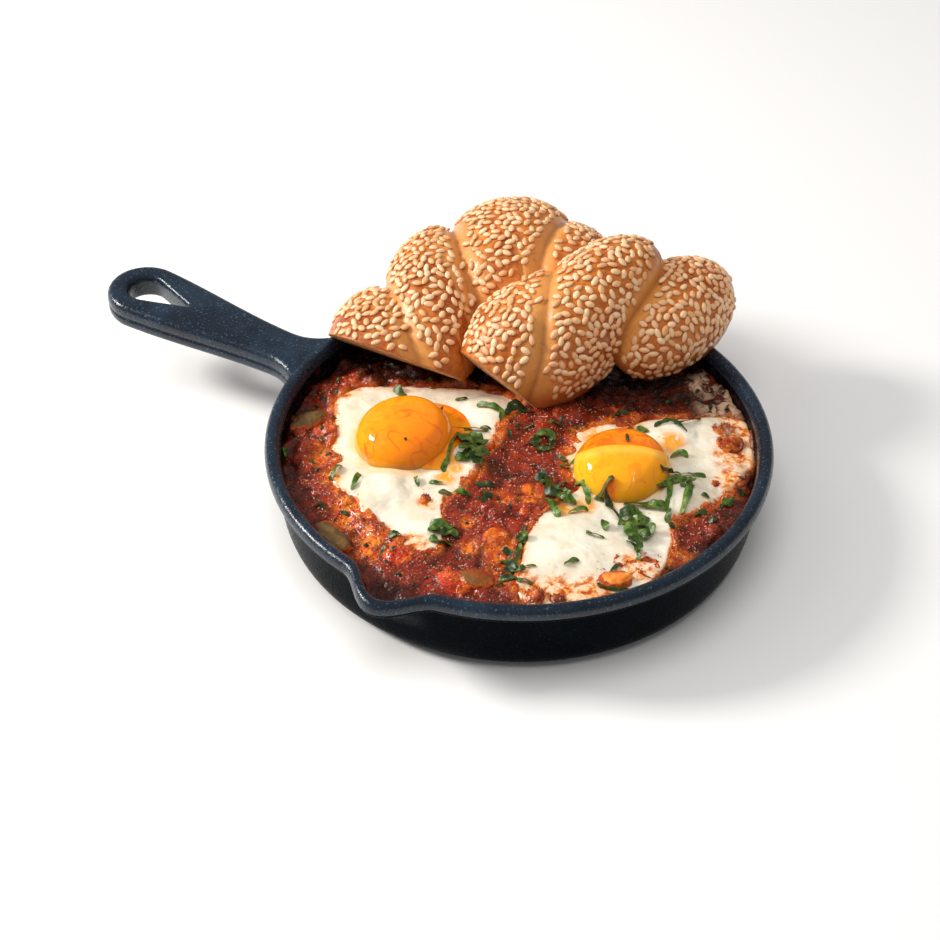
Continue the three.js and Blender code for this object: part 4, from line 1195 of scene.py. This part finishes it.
def tomato_places():
    """Where the larger pieces of tomato lie: x, y, half length, heading."""
    draw = draw_from(3)
    places = []
    while len(places) < TOMATO_PIECES:
        x, y = on_disc(draw, TOMATO_WITHIN)
        size = TOMATO_HALF[0] + (TOMATO_HALF[1] - TOMATO_HALF[0]) * draw()
        crowded = any(math.hypot(px - x, py - y) < TOMATO_SPACING for px, py, _, _ in places)
        under = any(math.hypot(at[0] - x, at[1] - y) < reach + size for _, at, reach in SPRIGS)
        on_egg = any(egg_margin(egg, x, y, smooth_reach) > -2 for egg in EGGS)
        if crowded or under or on_egg:
            continue
        places.append((x, y, size, draw() * 180))
        for _ in range(CAD_LUMP_DRAWS):
            draw()
    return places


def sauce_pieces():
    """Pieces of tomato in the sauce: x, y, half length, heading, height and brightness."""
    draw = draw_from(41)
    pieces = [(*place, TOMATO_TALL, draw()) for place in tomato_places()]
    for _ in range(SMALL_PIECES):
        at = on_disc(draw, SMALL_WITHIN)
        pieces.append((*at, 1.6 + 2.4 * draw(), draw() * 180, 0.5 + 0.9 * draw(), draw()))
    return pieces + FRESH_PIECES


def wall_dark_and_shade_at(x, y):
    """How dark the sauce is painted: darker by the wall, and painted shade at the back, where the bread's
    shadow falls on it.
    """
    across, away = view_axes(x, y)
    by_wall = smooth(68, 75, np.hypot(x, y) + 2 * flat_noise(x, y, 4, 9))
    start = 20 - 11 * smooth(5, 28, across)
    at_back = smooth(start, start + 17, away + 5 * flat_noise(x, y, 9, 10))
    return np.maximum(0.8 * by_wall, at_back) * (1 - 0.9 * blobs(x, y, FRESH))


def make_sauce():
    x, y = (part.ravel() for part in disc(SAUCE_GRID, SAUCE_RADIUS))
    bulge = lip_bulge(np.degrees(np.arctan2(y, x)), SAUCE_AT_WALL) / SAUCE_RADIUS
    spread = 1 + bulge * (np.hypot(x, y) / SAUCE_RADIUS) ** 6
    x, y = x * spread, y * spread
    relief, bright, heap = sauce_relief(x, y)
    values = {
        "relief": relief,
        "heap": heap,
        "bright": bright,
        "oily": np.maximum(blobs(x, y, OIL), 0.7 * smooth(-3.2, -0.4, eggs_margin(x, y))),
        # darker by the wall, and painted shade under the bread
        "wall_dark_and_shade": wall_dark_and_shade_at(x, y),
        "milky": blobs(x, y, MILKY),
    }
    top = np.stack([x, y, sauce_surface(x, y)], 1)
    faces = quads(SAUCE_GRID, SAUCE_GRID, wrap=False)
    index = np.arange(SAUCE_GRID * SAUCE_GRID).reshape(SAUCE_GRID, SAUCE_GRID)
    border = np.concatenate([index[0, :-1], index[:-1, -1], index[-1, :0:-1], index[:0:-1, 0]])
    rim = top[border] / np.hypot(top[border, 0], top[border, 1])[:, None]
    under = rim * (UNDERSIDE_RADIUS, UNDERSIDE_RADIUS, 0) + (0, 0, UNDERSIDE_HEIGHT)
    for j, after in around(len(border)):
        faces.append([int(border[j]), int(border[after]), len(top) + after, len(top) + j])
    faces.append(list(range(len(top), len(top) + len(border))))
    points = np.concatenate([top, under])
    values = {key: np.concatenate([numbers, np.zeros(len(border))]) for key, numbers in values.items()}
    add_smooth("sauce", points, faces, sauce_look(), "sauce", ["tomato_sauce"], values)


def make_grains():
    """Grains of tomato pulp over the sauce, which catch the light; the palest are painted glints."""
    number = np.arange(GRAINS)
    radius, angle, heading, tilt, length, width, tint, chance = (
        lattice(number, number * 0, number * 0, seed) for seed in range(51, 59)
    )
    x = GRAINS_WITHIN * np.sqrt(radius) * np.cos(2 * np.pi * angle)
    y = GRAINS_WITHIN * np.sqrt(radius) * np.sin(2 * np.pi * angle)
    top, wall_dark_and_shade = sauce_surface(x, y), wall_dark_and_shade_at(x, y)
    # fewer grains where the sauce is painted darker by the wall and in the bread's shade
    clear = (chance > 0.8 * wall_dark_and_shade) & (blobs(x, y, MILKY) < 0.4)
    for egg in EGGS:
        clear &= (egg_margin(egg, x, y) <= 0) | (top > white_surface(egg, x, y))
    heading, tilt = 2 * np.pi * heading, 1.3 * (tilt - 0.5)
    ahead = np.stack([np.cos(heading) * np.cos(tilt), np.sin(heading) * np.cos(tilt), np.sin(tilt)], 1)
    side = np.stack([-np.sin(heading), np.cos(heading), 0 * heading], 1)
    up = np.cross(ahead, side)
    half_length, half_width = (0.22 + 0.5 * length**2)[:, None], (0.1 + 0.1 * width)[:, None]
    frames = np.stack([ahead * half_length, side * half_width, 0.15 * up], 2)
    ball = bmesh.new()
    bmesh.ops.create_icosphere(ball, subdivisions=1, radius=1)
    shape = np.array([vert.co for vert in ball.verts])
    faces = [[vert.index for vert in face.verts] for face in ball.faces]
    ball.free()
    places = np.stack([x, y, top + 0.08], 1)
    points, faces = gathered_copies(shape, faces, frames[clear], places[clear])
    values = {"tint": np.repeat(tint[clear], len(shape)), "wall_dark_and_shade": np.repeat(wall_dark_and_shade[clear], len(shape))}
    add_smooth("sauce_grains", points, faces, grain_look(), "sauce", (), values)


# ---- the eggs ----


def plan_rings(middle, share, reach_x, reach_y, angle):
    """Plan points x and y of rings about a middle, at shares (r, 1) of the reach along each spoke."""
    x = middle[0] + share * reach_x * np.cos(angle)
    y = middle[1] + share * reach_y * np.sin(angle)
    return x.ravel(), y.ravel()


def capped(numbers, angle, start=0):
    """Values for a middle point and its rings, with 0 for what lies underneath."""
    return np.concatenate([[start], numbers, np.zeros(len(angle) + 1)])


def make_white(egg, look):
    angle = spokes(WHITE_SPOKES)
    reach = ragged_reach(egg, angle)
    share = 1 - (1 - np.linspace(0, 1, WHITE_RINGS)[1:, None]) ** 1.35
    x, y = plan_rings(egg["middle"], share, reach, reach, angle)
    rings = np.stack([x, y, white_surface(egg, x, y)], 1).reshape(-1, WHITE_SPOKES, 3)
    cx, cy = egg["middle"]
    under = rings[-1] * (0.985, 0.985, 1) + (cx * 0.015, cy * 0.015, -WHITE_EDGE_THICK)
    rings = np.concatenate([rings, under[None]])
    level = float(white_top(cx, cy))
    points, faces = closed_over((cx, cy, level), rings, (cx, cy, level - WHITE_DEPTH))
    film = smooth(3.2, 0.2, beyond_yolk(egg, x, y) + 1.2 * flat_noise(x, y, 4, 44))
    values = {
        "edge": capped(((1 - share) * reach).ravel(), angle, 20),
        "stain": capped(blobs(x, y, STAINS), angle),
        "runny": capped(blobs(x, y, RUNNY), angle),
        "film": capped(film, angle),
    }
    node = "egg_white_" + egg["side"]
    add_smooth("white_" + egg["side"], points, faces, look, "egg_white", [node], values)


def make_yolk(egg, look):
    (cx, cy), half = egg["yolk"]["at"], egg["yolk"]["half"]
    angle = spokes(YOLK_SPOKES)
    share = np.sin(np.linspace(0, np.pi / 2, YOLK_RINGS))[1:, None]
    x, y = plan_rings((cx, cy), share, *half, angle)
    rings = np.stack([x, y, yolk_surface(egg, x, y)], 1).reshape(-1, YOLK_SPOKES, 3)
    level = float(white_top(cx, cy))
    end = np.array([cx, cy, level - YOLK_DEPTH])
    low = end + (rings[-1] - (cx, cy, level)) * (0.8, 0.8, 0)
    start = (cx, cy, float(yolk_surface(egg, np.array([cx]), np.array([cy]))[0]))
    points, faces = closed_over(start, np.concatenate([rings, low[None]]), end)
    across, away = view_axes(x - cx, y - cy)
    values = {
        "deep": capped(np.maximum(egg_fold(egg, x, y), blobs(x, y, egg["deep"])), angle),
        # deeper orange on the side turned from the key light: partly the yolk's colour, partly painted
        # shade
        "deep_orange_and_shade": capped(smooth(-14, 16, across - 0.5 * away), angle),
        "crest": capped(np.exp(-(((above_fold(egg, x, y) + 1.9) / 1.1) ** 2)), angle),
    }
    node = "egg_yolk_" + egg["side"]
    add_smooth("yolk_" + egg["side"], points, faces, look, "egg_yolk", [node], values)


def make_yolk_run(look):
    """The thin, deep orange run of yolk that lies beside the left yolk."""
    egg = EGGS[0]
    cx, cy = egg["yolk"]["at"]
    angle = spokes(YOLK_SPOKES)
    ragged = 0.5 * flat_noise(20 * np.cos(angle), 20 * np.sin(angle), 5, 71)
    reach = reach_at(YOLK_RUN, np.degrees(angle)) + ragged
    share = np.sin(np.linspace(0, np.pi / 2, RUN_RINGS))[1:, None]
    x, y = plan_rings((cx, cy), share, reach, reach, angle)
    thick = YOLK_RUN_THICK * np.sqrt(1 - np.repeat(share.ravel(), YOLK_SPOKES) ** 6)
    z = white_surface(egg, x, y) + thick * (1 + 0.25 * flat_noise(x, y, 5, 72))
    rings = np.stack([x, y, z], 1).reshape(-1, YOLK_SPOKES, 3)
    under = rings[-1] * (0.98, 0.98, 1) + (0.02 * cx, 0.02 * cy, -0.8)
    level = float(white_top(cx, cy))
    ends = (cx, cy, level + 2), (cx, cy, level - 2)
    points, faces = closed_over(ends[0], np.concatenate([rings, under[None]]), ends[1])
    values = {"deep": np.ones(len(points)), "deep_orange_and_shade": np.ones(len(points)), "crest": np.zeros(len(points))}
    add_smooth("yolk_run", points, faces, look, "egg_yolk", (), values)


# ---- vegetables and herbs ----


def blob_points(half, seed, rows=40, columns=56, uneven=0.16):
    """Points and faces of an uneven ellipsoid about the origin."""
    lift = np.linspace(-np.pi / 2, np.pi / 2, rows + 2)[1:-1, None]
    angle = spokes(columns)[None, :]
    flat = np.cos(lift)
    unit = np.stack([flat * np.cos(angle), flat * np.sin(angle), np.sin(lift) + 0 * angle], 2)
    on_ball = unit.reshape(-1, 3)
    reach = 1 + uneven * noise(on_ball, 0.7, seed) + 0.4 * uneven * noise(on_ball, 0.25, seed + 1)
    return closed_over((0, 0, -half[2]), unit * reach.reshape(rows, columns, 1) * half, (0, 0, half[2]))


def make_vegetables():
    looks = {
        "aubergine": vegetable_look("cooked_aubergine", (132, 96, 50), (86, 70, 38), (66, 52, 30)),
        "pepper": vegetable_look("cooked_pepper", (118, 86, 44), (146, 78, 30), (140, 50, 14)),
        "onion": vegetable_look("cooked_onion", (250, 176, 88), (236, 124, 36), (200, 76, 20)),
    }
    for seed, (node, at, half, heading) in enumerate(VEGETABLES):
        points, faces = blob_points(half, seed)
        points[:, 2] *= np.where(points[:, 2] > 0, VEGETABLE_FLATNESS, 1)
        skin = smooth(0.1, 0.7, points[:, 1] / half[1] + 0.3 * noise(points, 2.5, 4))
        values = {"skin": skin, "dipped": smooth(0.7, 0, points[:, 2] / half[2])}
        points = carried(Matrix.Translation(at) @ turned(heading), points)
        kind = node.split("_")[0]
        add_smooth("cooked_" + node, points, faces, looks[kind], kind, [node], values)


def strip(line, widths, thick, across, cup, twist=0):
    """A thin closed strip along a line of points (n, 3), with the half widths given there."""
    along = np.gradient(line, axis=0)
    side = np.stack([-along[:, 1], along[:, 0], 0 * along[:, 0]], 1)
    side /= np.linalg.norm(side, axis=1)[:, None]
    roll = np.broadcast_to(twist, len(line))[:, None]
    side = side * np.cos(roll) + np.array([0, 0, 1]) * np.sin(roll)
    share = np.linspace(-1, 1, across)
    top = line[:, None] + side[:, None] * (widths[:, None] * share)[:, :, None]
    top[:, :, 2] += thick / 2 + cup * widths[:, None] * (np.abs(share) - 0.4)
    rings = np.concatenate([top, top[:, ::-1] - (0, 0, thick)], 1)
    return closed_over(line[0], rings, line[-1])


def through(points, step):
    """A smooth line in plan through a few points, and the share of its length at each station."""
    knots = np.array([points[0], *points, points[-1]], float)
    knots[0] += knots[0] - knots[2]
    knots[-1] += knots[-1] - knots[-3]
    line = []
    for a, b, c, d in zip(knots, knots[1:], knots[2:], knots[3:]):
        count = max(2, int(np.linalg.norm(c - b) / step))
        t = (np.arange(count) / count)[:, None]
        curve = 2 * b + (c - a) * t + (2 * a - 5 * b + 4 * c - d) * t**2
        line.append(0.5 * (curve + (3 * b - a - 3 * c + d) * t**3))
    line = np.concatenate([*line, [points[-1]]])
    length = np.concatenate([[0], np.cumsum(np.linalg.norm(np.diff(line, axis=0), axis=1))])
    return line, length / length[-1]


def ribbon(width, points, seed, lift=0.25):
    """A cut ribbon of leaf that lies over the food, with uneven edges and blunt ends."""
    plan, share = through(points, 0.55)
    reach = share * np.linalg.norm(np.diff(plan, axis=0), axis=1).sum()
    number = np.stack([reach, 0 * reach + seed * 7.3, 0 * reach], 1)
    height = food_top(plan[:, 0], plan[:, 1])
    height = np.maximum(height, np.convolve(np.pad(height, 2, "edge"), np.ones(5) / 5, "valid"))
    arch = 0.9 * np.sin(np.pi * share) * (0.4 + 0.6 * (seed * 0.37 % 1))
    height = height + lift + arch + 0.25 * noise(number, 2.5, 5)
    blunt = np.clip(np.minimum(share, 1 - share) * reach[-1] / (0.35 * width), 0, 1) ** 0.5
    half = width / 2 * (0.3 + 0.7 * blunt) * (1 + 0.3 * noise(number, 1.5, 6))
    twist = 0.75 * np.sin(share * 4 + seed * 2.1) * np.minimum(1, reach[-1] / 6)
    line = np.concatenate([plan, (height + np.abs(half * np.sin(twist)) * 0.8)[:, None]], 1)
    cup = 0.9 * ((seed * 0.61 % 1) - 0.45)
    points, faces = strip(line, half, RIBBON_THICK, across=5, cup=cup, twist=twist)
    points[:, 2] += 0.14 * noise(points, 1.1, seed)
    return points, faces


def leaf(at, half, heading, seed):
    """A small crumpled leaf that lies tilted over the food."""
    draw = draw_from(seed * 977 + 5)
    share = np.linspace(-1, 1, 17)
    bend = 1.8 * (draw() - 0.5)
    line = np.stack([half * share, bend * share**2, 0.6 * np.cos(share * 3 + draw() * 6)], 1)
    toothed = 1 + 0.14 * np.sin(share * 7 + draw() * 6) + 0.06 * np.sin(share * 19)
    widths = half * (0.5 + 0.2 * draw()) * np.clip(1.2 - np.abs(share) ** 2.5, 0.3, 1) * toothed
    points, faces = strip(line, widths, LEAF_THICK, across=9, cup=0.9 * (draw() - 0.5))
    points[:, 2] += 0.5 * noise(points + seed * 3.1, 2.6, 7) + 0.08 * noise(points + seed, 0.9, 8)
    points = carried(turned(heading, 44 * (draw() - 0.5), 44 * (draw() - 0.5)), points)
    height = float(food_top(*at)[0]) + 1.1 + 1.3 * draw()
    return points + (*at, height), faces


def make_herbs(look):
    seed = 0
    for node, ribbons in RIBBONS.items():
        parts = []
        for width, tint, points in ribbons:
            seed += 1
            parts.append((*ribbon(width, points, seed), tint))
        for at, half, heading, tint in LEAVES.get(node, []):
            seed += 1
            parts.append((*leaf(at, half, heading, seed), tint))
        points, faces, tints = gathered(parts)
        name = "chopped_" + node if node else "loose_herbs"
        mesh = add_smooth(name, points, faces, look, "herb", [node] if node else (), {"tint": tints})
        mesh.set_sharp_from_angle(angle=math.radians(LEAF_SHARP_ANGLE))


def make_flecks(look):
    """Small dark flecks of cooked herb in the sauce."""
    draw = draw_from(83)
    parts = []
    while len(parts) < FLECKS:
        at = on_disc(draw, FLECKS_WITHIN)
        heading, half = draw() * 2 * math.pi, 0.5 + 1.1 * draw()
        if eggs_margin(*at[:, None])[0] > 0.5:
            continue
        step = half * np.array([math.cos(heading), math.sin(heading)])
        width = 0.6 + 0.7 * draw()
        parts.append((*ribbon(width, [at - step, at + step], len(parts), 0.05), 0.25 * draw()))
    points, faces, tints = gathered(parts)
    add_smooth("sauce_flecks", points, faces, look, "herb", (), {"tint": tints})


# ---- bread ----


def strands_of(roll):
    """For each strand, the matrix that turns it into a unit sphere."""
    found = []
    for at, half, turn in roll["strands"]:
        matrix = Matrix.Translation(at) @ turned(*turn) @ Matrix.Diagonal((*half, 1))
        found.append(np.array(matrix.inverted()))
    return found


def exits(strands, start, direction):
    """How far lines from start run before they leave each strand, as (strands, lines)."""
    found = []
    for matrix in strands:
        s = start @ matrix[:3, :3].T + matrix[:3, 3]
        d = direction @ matrix[:3, :3].T
        a, b, c = (d * d).sum(1), (s * d).sum(1), (s * s).sum(1) - 1
        root = b * b - a * c
        found.append(np.where(root > 0, np.maximum((np.sqrt(np.abs(root)) - b) / a, 0), 0))
    return np.array(found)


def crust_lines(roll, share, angle):
    """The lines out of the roll's core at shares of its length, 0 to 1, and angles round it."""
    low, high, height = roll["core"]
    share, angle = np.broadcast_arrays(np.asarray(share, float), np.asarray(angle, float))
    share, angle = share.ravel(), angle.ravel()
    along = np.clip((share - CAP_SHARE) / (1 - 2 * CAP_SHARE), 0, 1)
    tilt = np.where(share < CAP_SHARE, -(1 - share / CAP_SHARE), 0)
    tilt = np.where(share > 1 - CAP_SHARE, 1 - (1 - share) / CAP_SHARE, tilt) * np.pi / 2
    start = np.stack([low + (high - low) * along, 0 * share, np.full_like(share, height)], 1)
    direction = np.stack([np.sin(tilt), np.cos(tilt) * np.cos(angle), np.cos(tilt) * np.sin(angle)], 1)
    return start, direction


def crust_points(roll, strands, share, angle):
    """Points on the crust, how clear each is of a crease in millimetres, and the lines' directions."""
    start, direction = crust_lines(roll, share, angle)
    found = exits(strands, start, direction)
    distance = np.maximum((found**CREASE_SOFTNESS).sum(0) ** (1 / CREASE_SOFTNESS), 2)
    ordered = np.sort(found, axis=0)
    return start + direction * distance[:, None], ordered[-1] - ordered[-2], direction


def crease_distance(clear, step_a, step_b, rise_a, rise_b):
    """How far over the surface points are from a crease, from two steps over it and clear's rises."""
    aa, bb, ab = (step_a**2).sum(-1), (step_b**2).sum(-1), (step_a * step_b).sum(-1)
    slope = bb * rise_a**2 - 2 * ab * rise_a * rise_b + aa * rise_b**2
    slope = slope / np.maximum(aa * bb - ab**2, 1e-9)
    return clear / np.sqrt(np.clip(slope, LEAST_CREASE_SLOPE**2, None))


def crust_relief(roll, points):
    """The unevenness of the crust outside its creases."""
    layers = [(0.5, 11), (0.2, 4), (0.07, 1.6)]
    return sum(depth * noise(points, size, roll["draw"] + i) for i, (depth, size) in enumerate(layers))


def place_of(roll):
    return Matrix.Translation(roll["origin"]) @ turned(*roll["turn"])


def cut_normal(roll):
    skew, undercut = math.radians(roll["cut"]["skew"]), math.radians(roll["cut"]["undercut"])
    flat = math.cos(undercut)
    return Vector((-flat * math.cos(skew), flat * math.sin(skew), -math.sin(undercut)))


def cut_off(solid, point, normal, slot):
    """Cuts away what lies past a plane and closes the cut with faces of a material slot."""
    geometry = solid.verts[:] + solid.edges[:] + solid.faces[:]
    cut = bmesh.ops.bisect_plane(solid, geom=geometry, plane_co=point, plane_no=normal, clear_outer=True)
    edges = [item for item in cut["geom_cut"] if isinstance(item, bmesh.types.BMEdge)]
    filled = bmesh.ops.triangle_fill(solid, edges=edges, use_beauty=True, normal=normal)
    for item in filled["geom"]:
        if isinstance(item, bmesh.types.BMFace):
            item.material_index = slot


def rises_of(grid):
    """How much values on the crust's grid change in a step along the roll and in one round it."""
    return np.gradient(grid, axis=0), (np.roll(grid, -1, 1) - np.roll(grid, 1, 1)) / 2


def make_crust(roll, looks):
    strands = strands_of(roll)
    share = np.linspace(0, 1, CRUST_ROWS + 1)[1:-1, None]
    points, clear, direction = crust_points(roll, strands, share, spokes(CRUST_SIDES)[None, :])
    size = (CRUST_ROWS - 1, CRUST_SIDES)
    rises = rises_of(clear.reshape(size))
    steps = rises_of(points.reshape(*size, 3))
    clear = crease_distance(clear.reshape(size), *steps, *rises).ravel()
    groove = CREASE_DEPTH * np.exp(-((clear / CREASE_WIDTH) ** 2))
    points = points + direction * (crust_relief(roll, points) - groove)[:, None]
    ends = [crust_points(roll, strands, end, 0)[0][0] for end in (0, 1)]
    surface, faces = closed_over(ends[0], points.reshape(*size, 3), ends[1])
    seed, base = roll["draw"], roll["base"]
    values = {
        "band": smooth(7, 3, clear + 1.2 * noise(points, 5, seed + 3)),
        # the dark line along each crease's bottom: painted shade
        "line": 0.6 * np.exp(-((clear / 0.8) ** 2)),
        # towards the base: the lower crust's own colour and painted shade
        "low_crust_and_shade": smooth(base + 13, base + 3, points[:, 2] + 2 * noise(points, 9, seed + 4)),
        "toast": smooth(0.15, 0.6, noise(points, 15, seed + 5)),
    }
    values = {key: np.concatenate([[0], numbers, [0]]) for key, numbers in values.items()}
    name, place = roll["name"] + "_crust", place_of(roll)
    mesh = mesh_of(name, carried(place, surface), faces, looks, values)
    solid = bmesh.new()
    solid.from_mesh(mesh)
    cuts = [(cut_normal(roll), roll["cut"]["distance"]), (Vector((0, 0, -1)), -base)]
    for (normal, distance), slot in zip(cuts, (CRUMB_SLOT, CRUST_SLOT)):
        cut_off(solid, place @ (normal * distance) * MM, place.to_3x3() @ normal, slot)
    for face in solid.faces:
        face.smooth = face.material_index == CRUST_SLOT
    solid.to_mesh(mesh)
    solid.free()
    add_piece(name, mesh, "crust", [roll["name"]])


def inside_other(roll, other, points, margin):
    """Whether points in a roll's own frame lie in or near the other roll."""
    least = min(value for _, half, _ in other["strands"] for value in half)
    across = place_of(other).inverted() @ place_of(roll)
    local = carried(across, points)
    near = np.zeros(len(points), bool)
    for matrix in strands_of(other):
        near |= np.linalg.norm(carried(matrix, local), axis=1) <= 1 + margin / least
    return near


def seed_places(roll, other):
    """Where seeds lie: points, outward directions, lengthwise directions and turns.

    The first pass draws the CAD model's seeds, and the second fills in between them.
    """
    strands, normal = strands_of(roll), np.array(cut_normal(roll))
    found, taken = [], np.zeros((0, 3))
    passes = [
        (True, roll["draw"], CAD_SEED_TRIES, CAD_SEED_SPACING, CAD_SEED_FROM_CUT),
        (False, roll["draw"] + 100, SEED_TRIES, SEED_SPACING, SEED_FROM_CUT),
    ]
    for as_cad, seed, tries, spacing, from_cut in passes:
        draw = draw_from(seed)
        for _ in range(tries):
            if as_cad and len(taken) >= roll["cad_seeds"]:
                break
            share, angle, turn = 0.04 + 0.92 * draw(), math.pi * (-0.08 + 1.16 * draw()), draw() * math.pi
            shares, angles = [share, share + PROBE, share], [angle, angle, angle + PROBE]
            near, clear, direction = crust_points(roll, strands, shares, angles)
            point = near[0]
            too_low = point[2] < roll["base"] + SEED_ABOVE_BASE
            if too_low or normal @ point > roll["cut"]["distance"] - from_cut:
                continue
            if len(taken) and np.min(np.linalg.norm(taken - point, axis=1)) < spacing:
                continue
            if inside_other(roll, other, near[:1], SEED_CLEARANCE)[0]:
                continue
            outward = unit(np.cross(near[2] - point, near[1] - point))
            if outward @ direction[0] < 0:
                outward = -outward
            if outward @ direction[0] < 0.55:
                continue
            steps, rises = near[1:] - point, clear[1:] - clear[0]
            apart = crease_distance(clear[0], *steps, *rises)
            if not as_cad:
                bare = smooth(BARE_BY_CREASE + 0.8, BARE_BY_CREASE - 0.8, apart) * 0.98
                bare += 0.9 * smooth(9.5, 6, point[2] - roll["base"])
                if draw() < bare:
                    continue
            taken = np.concatenate([taken, point[None]])
            if apart > BARE_BY_CREASE - 1.6:
                found.append((point, outward, near[1] - point, turn))
            for _ in range(CAD_SEED_DRAWS if as_cad else 0):
                draw()
    return found


def seed_shape(sides=8, rows=6):
    """Points and faces of a flat teardrop along X with its tip at +X."""
    share = np.sin(np.linspace(-np.pi / 2, np.pi / 2, rows + 2))[1:-1, None]
    angle = spokes(sides)[None, :]
    width = np.sqrt(1 - share**2) * (1 - 0.34 * np.clip(share, 0, 1) ** 1.5)
    rings = np.stack([share + 0 * angle, width * np.cos(angle), width * np.sin(angle)], 2) * SEED
    return closed_over((-SEED[0], 0, 0), rings, (SEED[0] * 1.04, 0, 0))


def make_seeds(roll, other, look):
    shape, shape_faces = seed_shape()
    draw = draw_from(roll["draw"] + 200)
    parts = []
    found = seed_places(roll, other)
    lifts = crust_relief(roll, np.array([point for point, _, _, _ in found]))
    for (point, outward, along, turn), lift in zip(found, lifts):
        side = unit(np.cross(along, outward))
        ahead = np.cross(outward, side)
        up = unit(outward + 0.22 * (draw() - 0.5) * side + 0.22 * (draw() - 0.5) * ahead)
        lengthwise = math.cos(turn) * side + math.sin(turn) * ahead
        lengthwise = unit(lengthwise - (lengthwise @ up) * up)
        if draw() < 0.5:
            lengthwise = -lengthwise
        axes = np.stack([lengthwise, np.cross(up, lengthwise), up])
        size = np.array([0.92 + 0.26 * draw(), 0.92 + 0.24 * draw(), 1])
        place = point + outward * (lift + 0.1 + 0.25 * draw())
        parts.append(((shape * size) @ axes + place, shape_faces, draw()))
    points, faces, tints = gathered(parts)
    tip = np.clip(shape[:, 0] / SEED[0], 0, 1)
    values = {"tint": tints, "tip": np.tile(tip, len(parts))}
    points = carried(place_of(roll), points)
    add_smooth(roll["name"] + "_seeds", points, faces, look, "crust", (), values)


# ---- light, floor and camera ----


def seen_from_camera(right, away, up):
    """A point given to the right of, behind and above the pan's middle as the camera sees it."""
    return Vector((*turned_axes(right, away, -SERVED_FROM), up))


def add_lights():
    for name, place, size, power, colour, mirrored in LIGHTS:
        data = bpy.data.lights.new(name, "AREA")
        data.shape = "DISK"
        data.size = size
        data.energy = power
        data.color = colour
        light = add_object(name, data)
        light.location = seen_from_camera(*place)
        light.visible_glossy = mirrored
        aim = Vector((0, 0, 0.02)) - light.location
        light.rotation_euler = aim.to_track_quat("-Z", "Y").to_euler()


def add_floor():
    corners = [(-1, -1, 0), (1, -1, 0), (1, 1, 0), (-1, 1, 0)]
    mesh = bpy.data.meshes.new("floor")
    mesh.from_pydata((np.array(corners) * FLOOR_REACH).tolist(), [], [[0, 1, 2, 3]])
    look = Look("floor", Roughness=0.9)
    look.set("Base Color", (0.93, 0.93, 0.93, 1))
    mesh.materials.append(look.material)
    floor = add_object("floor", mesh)


def add_camera():
    data = bpy.data.cameras.new("camera")
    data.lens = CAMERA_LENS
    data.sensor_width = SENSOR
    data.clip_start = 0.01
    camera = add_object("camera", data)
    camera.location = CAMERA_AT
    camera.rotation_euler = (math.radians(CAMERA_PITCH), 0, math.radians(SERVED_FROM))
    bpy.context.scene.camera = camera


def make_studio():
    scene = bpy.context.scene
    scene.view_settings.view_transform = "Standard"
    scene.world = bpy.data.worlds.new("studio")
    scene.world.use_nodes = True
    sky = scene.world.node_tree.nodes["Background"].inputs
    sky["Color"].default_value = (1, 1, 1, 1)
    sky["Strength"].default_value = WORLD_STRENGTH
    add_lights()
    add_floor()
    add_camera()


# ---- the scene ----

SAUCE_PIECES = sauce_pieces()

make_studio()
make_skillet()
make_sauce()
make_grains()
egg_white = white_look()
yolk_looks = [
    yolk_look("yolk_left", (255, 172, 8), (255, 132, 4), 0.5, 0.75),
    yolk_look("yolk_right", (255, 196, 30), (255, 162, 10), 0.5, 0.3),
]
for egg, look in zip(EGGS, yolk_looks):
    make_white(egg, egg_white)
    make_yolk(egg, look)
make_yolk_run(yolk_look("yolk_run", (255, 178, 10), (250, 148, 2), 0.15))
make_vegetables()
herb = herb_look()
make_herbs(herb)
make_flecks(herb)
crust_looks = [crust_look(), crumb_look()]
seeds = seed_look()
for roll, other in zip(ROLLS, ROLLS[::-1]):
    make_crust(roll, crust_looks)
    make_seeds(roll, other, seeds)
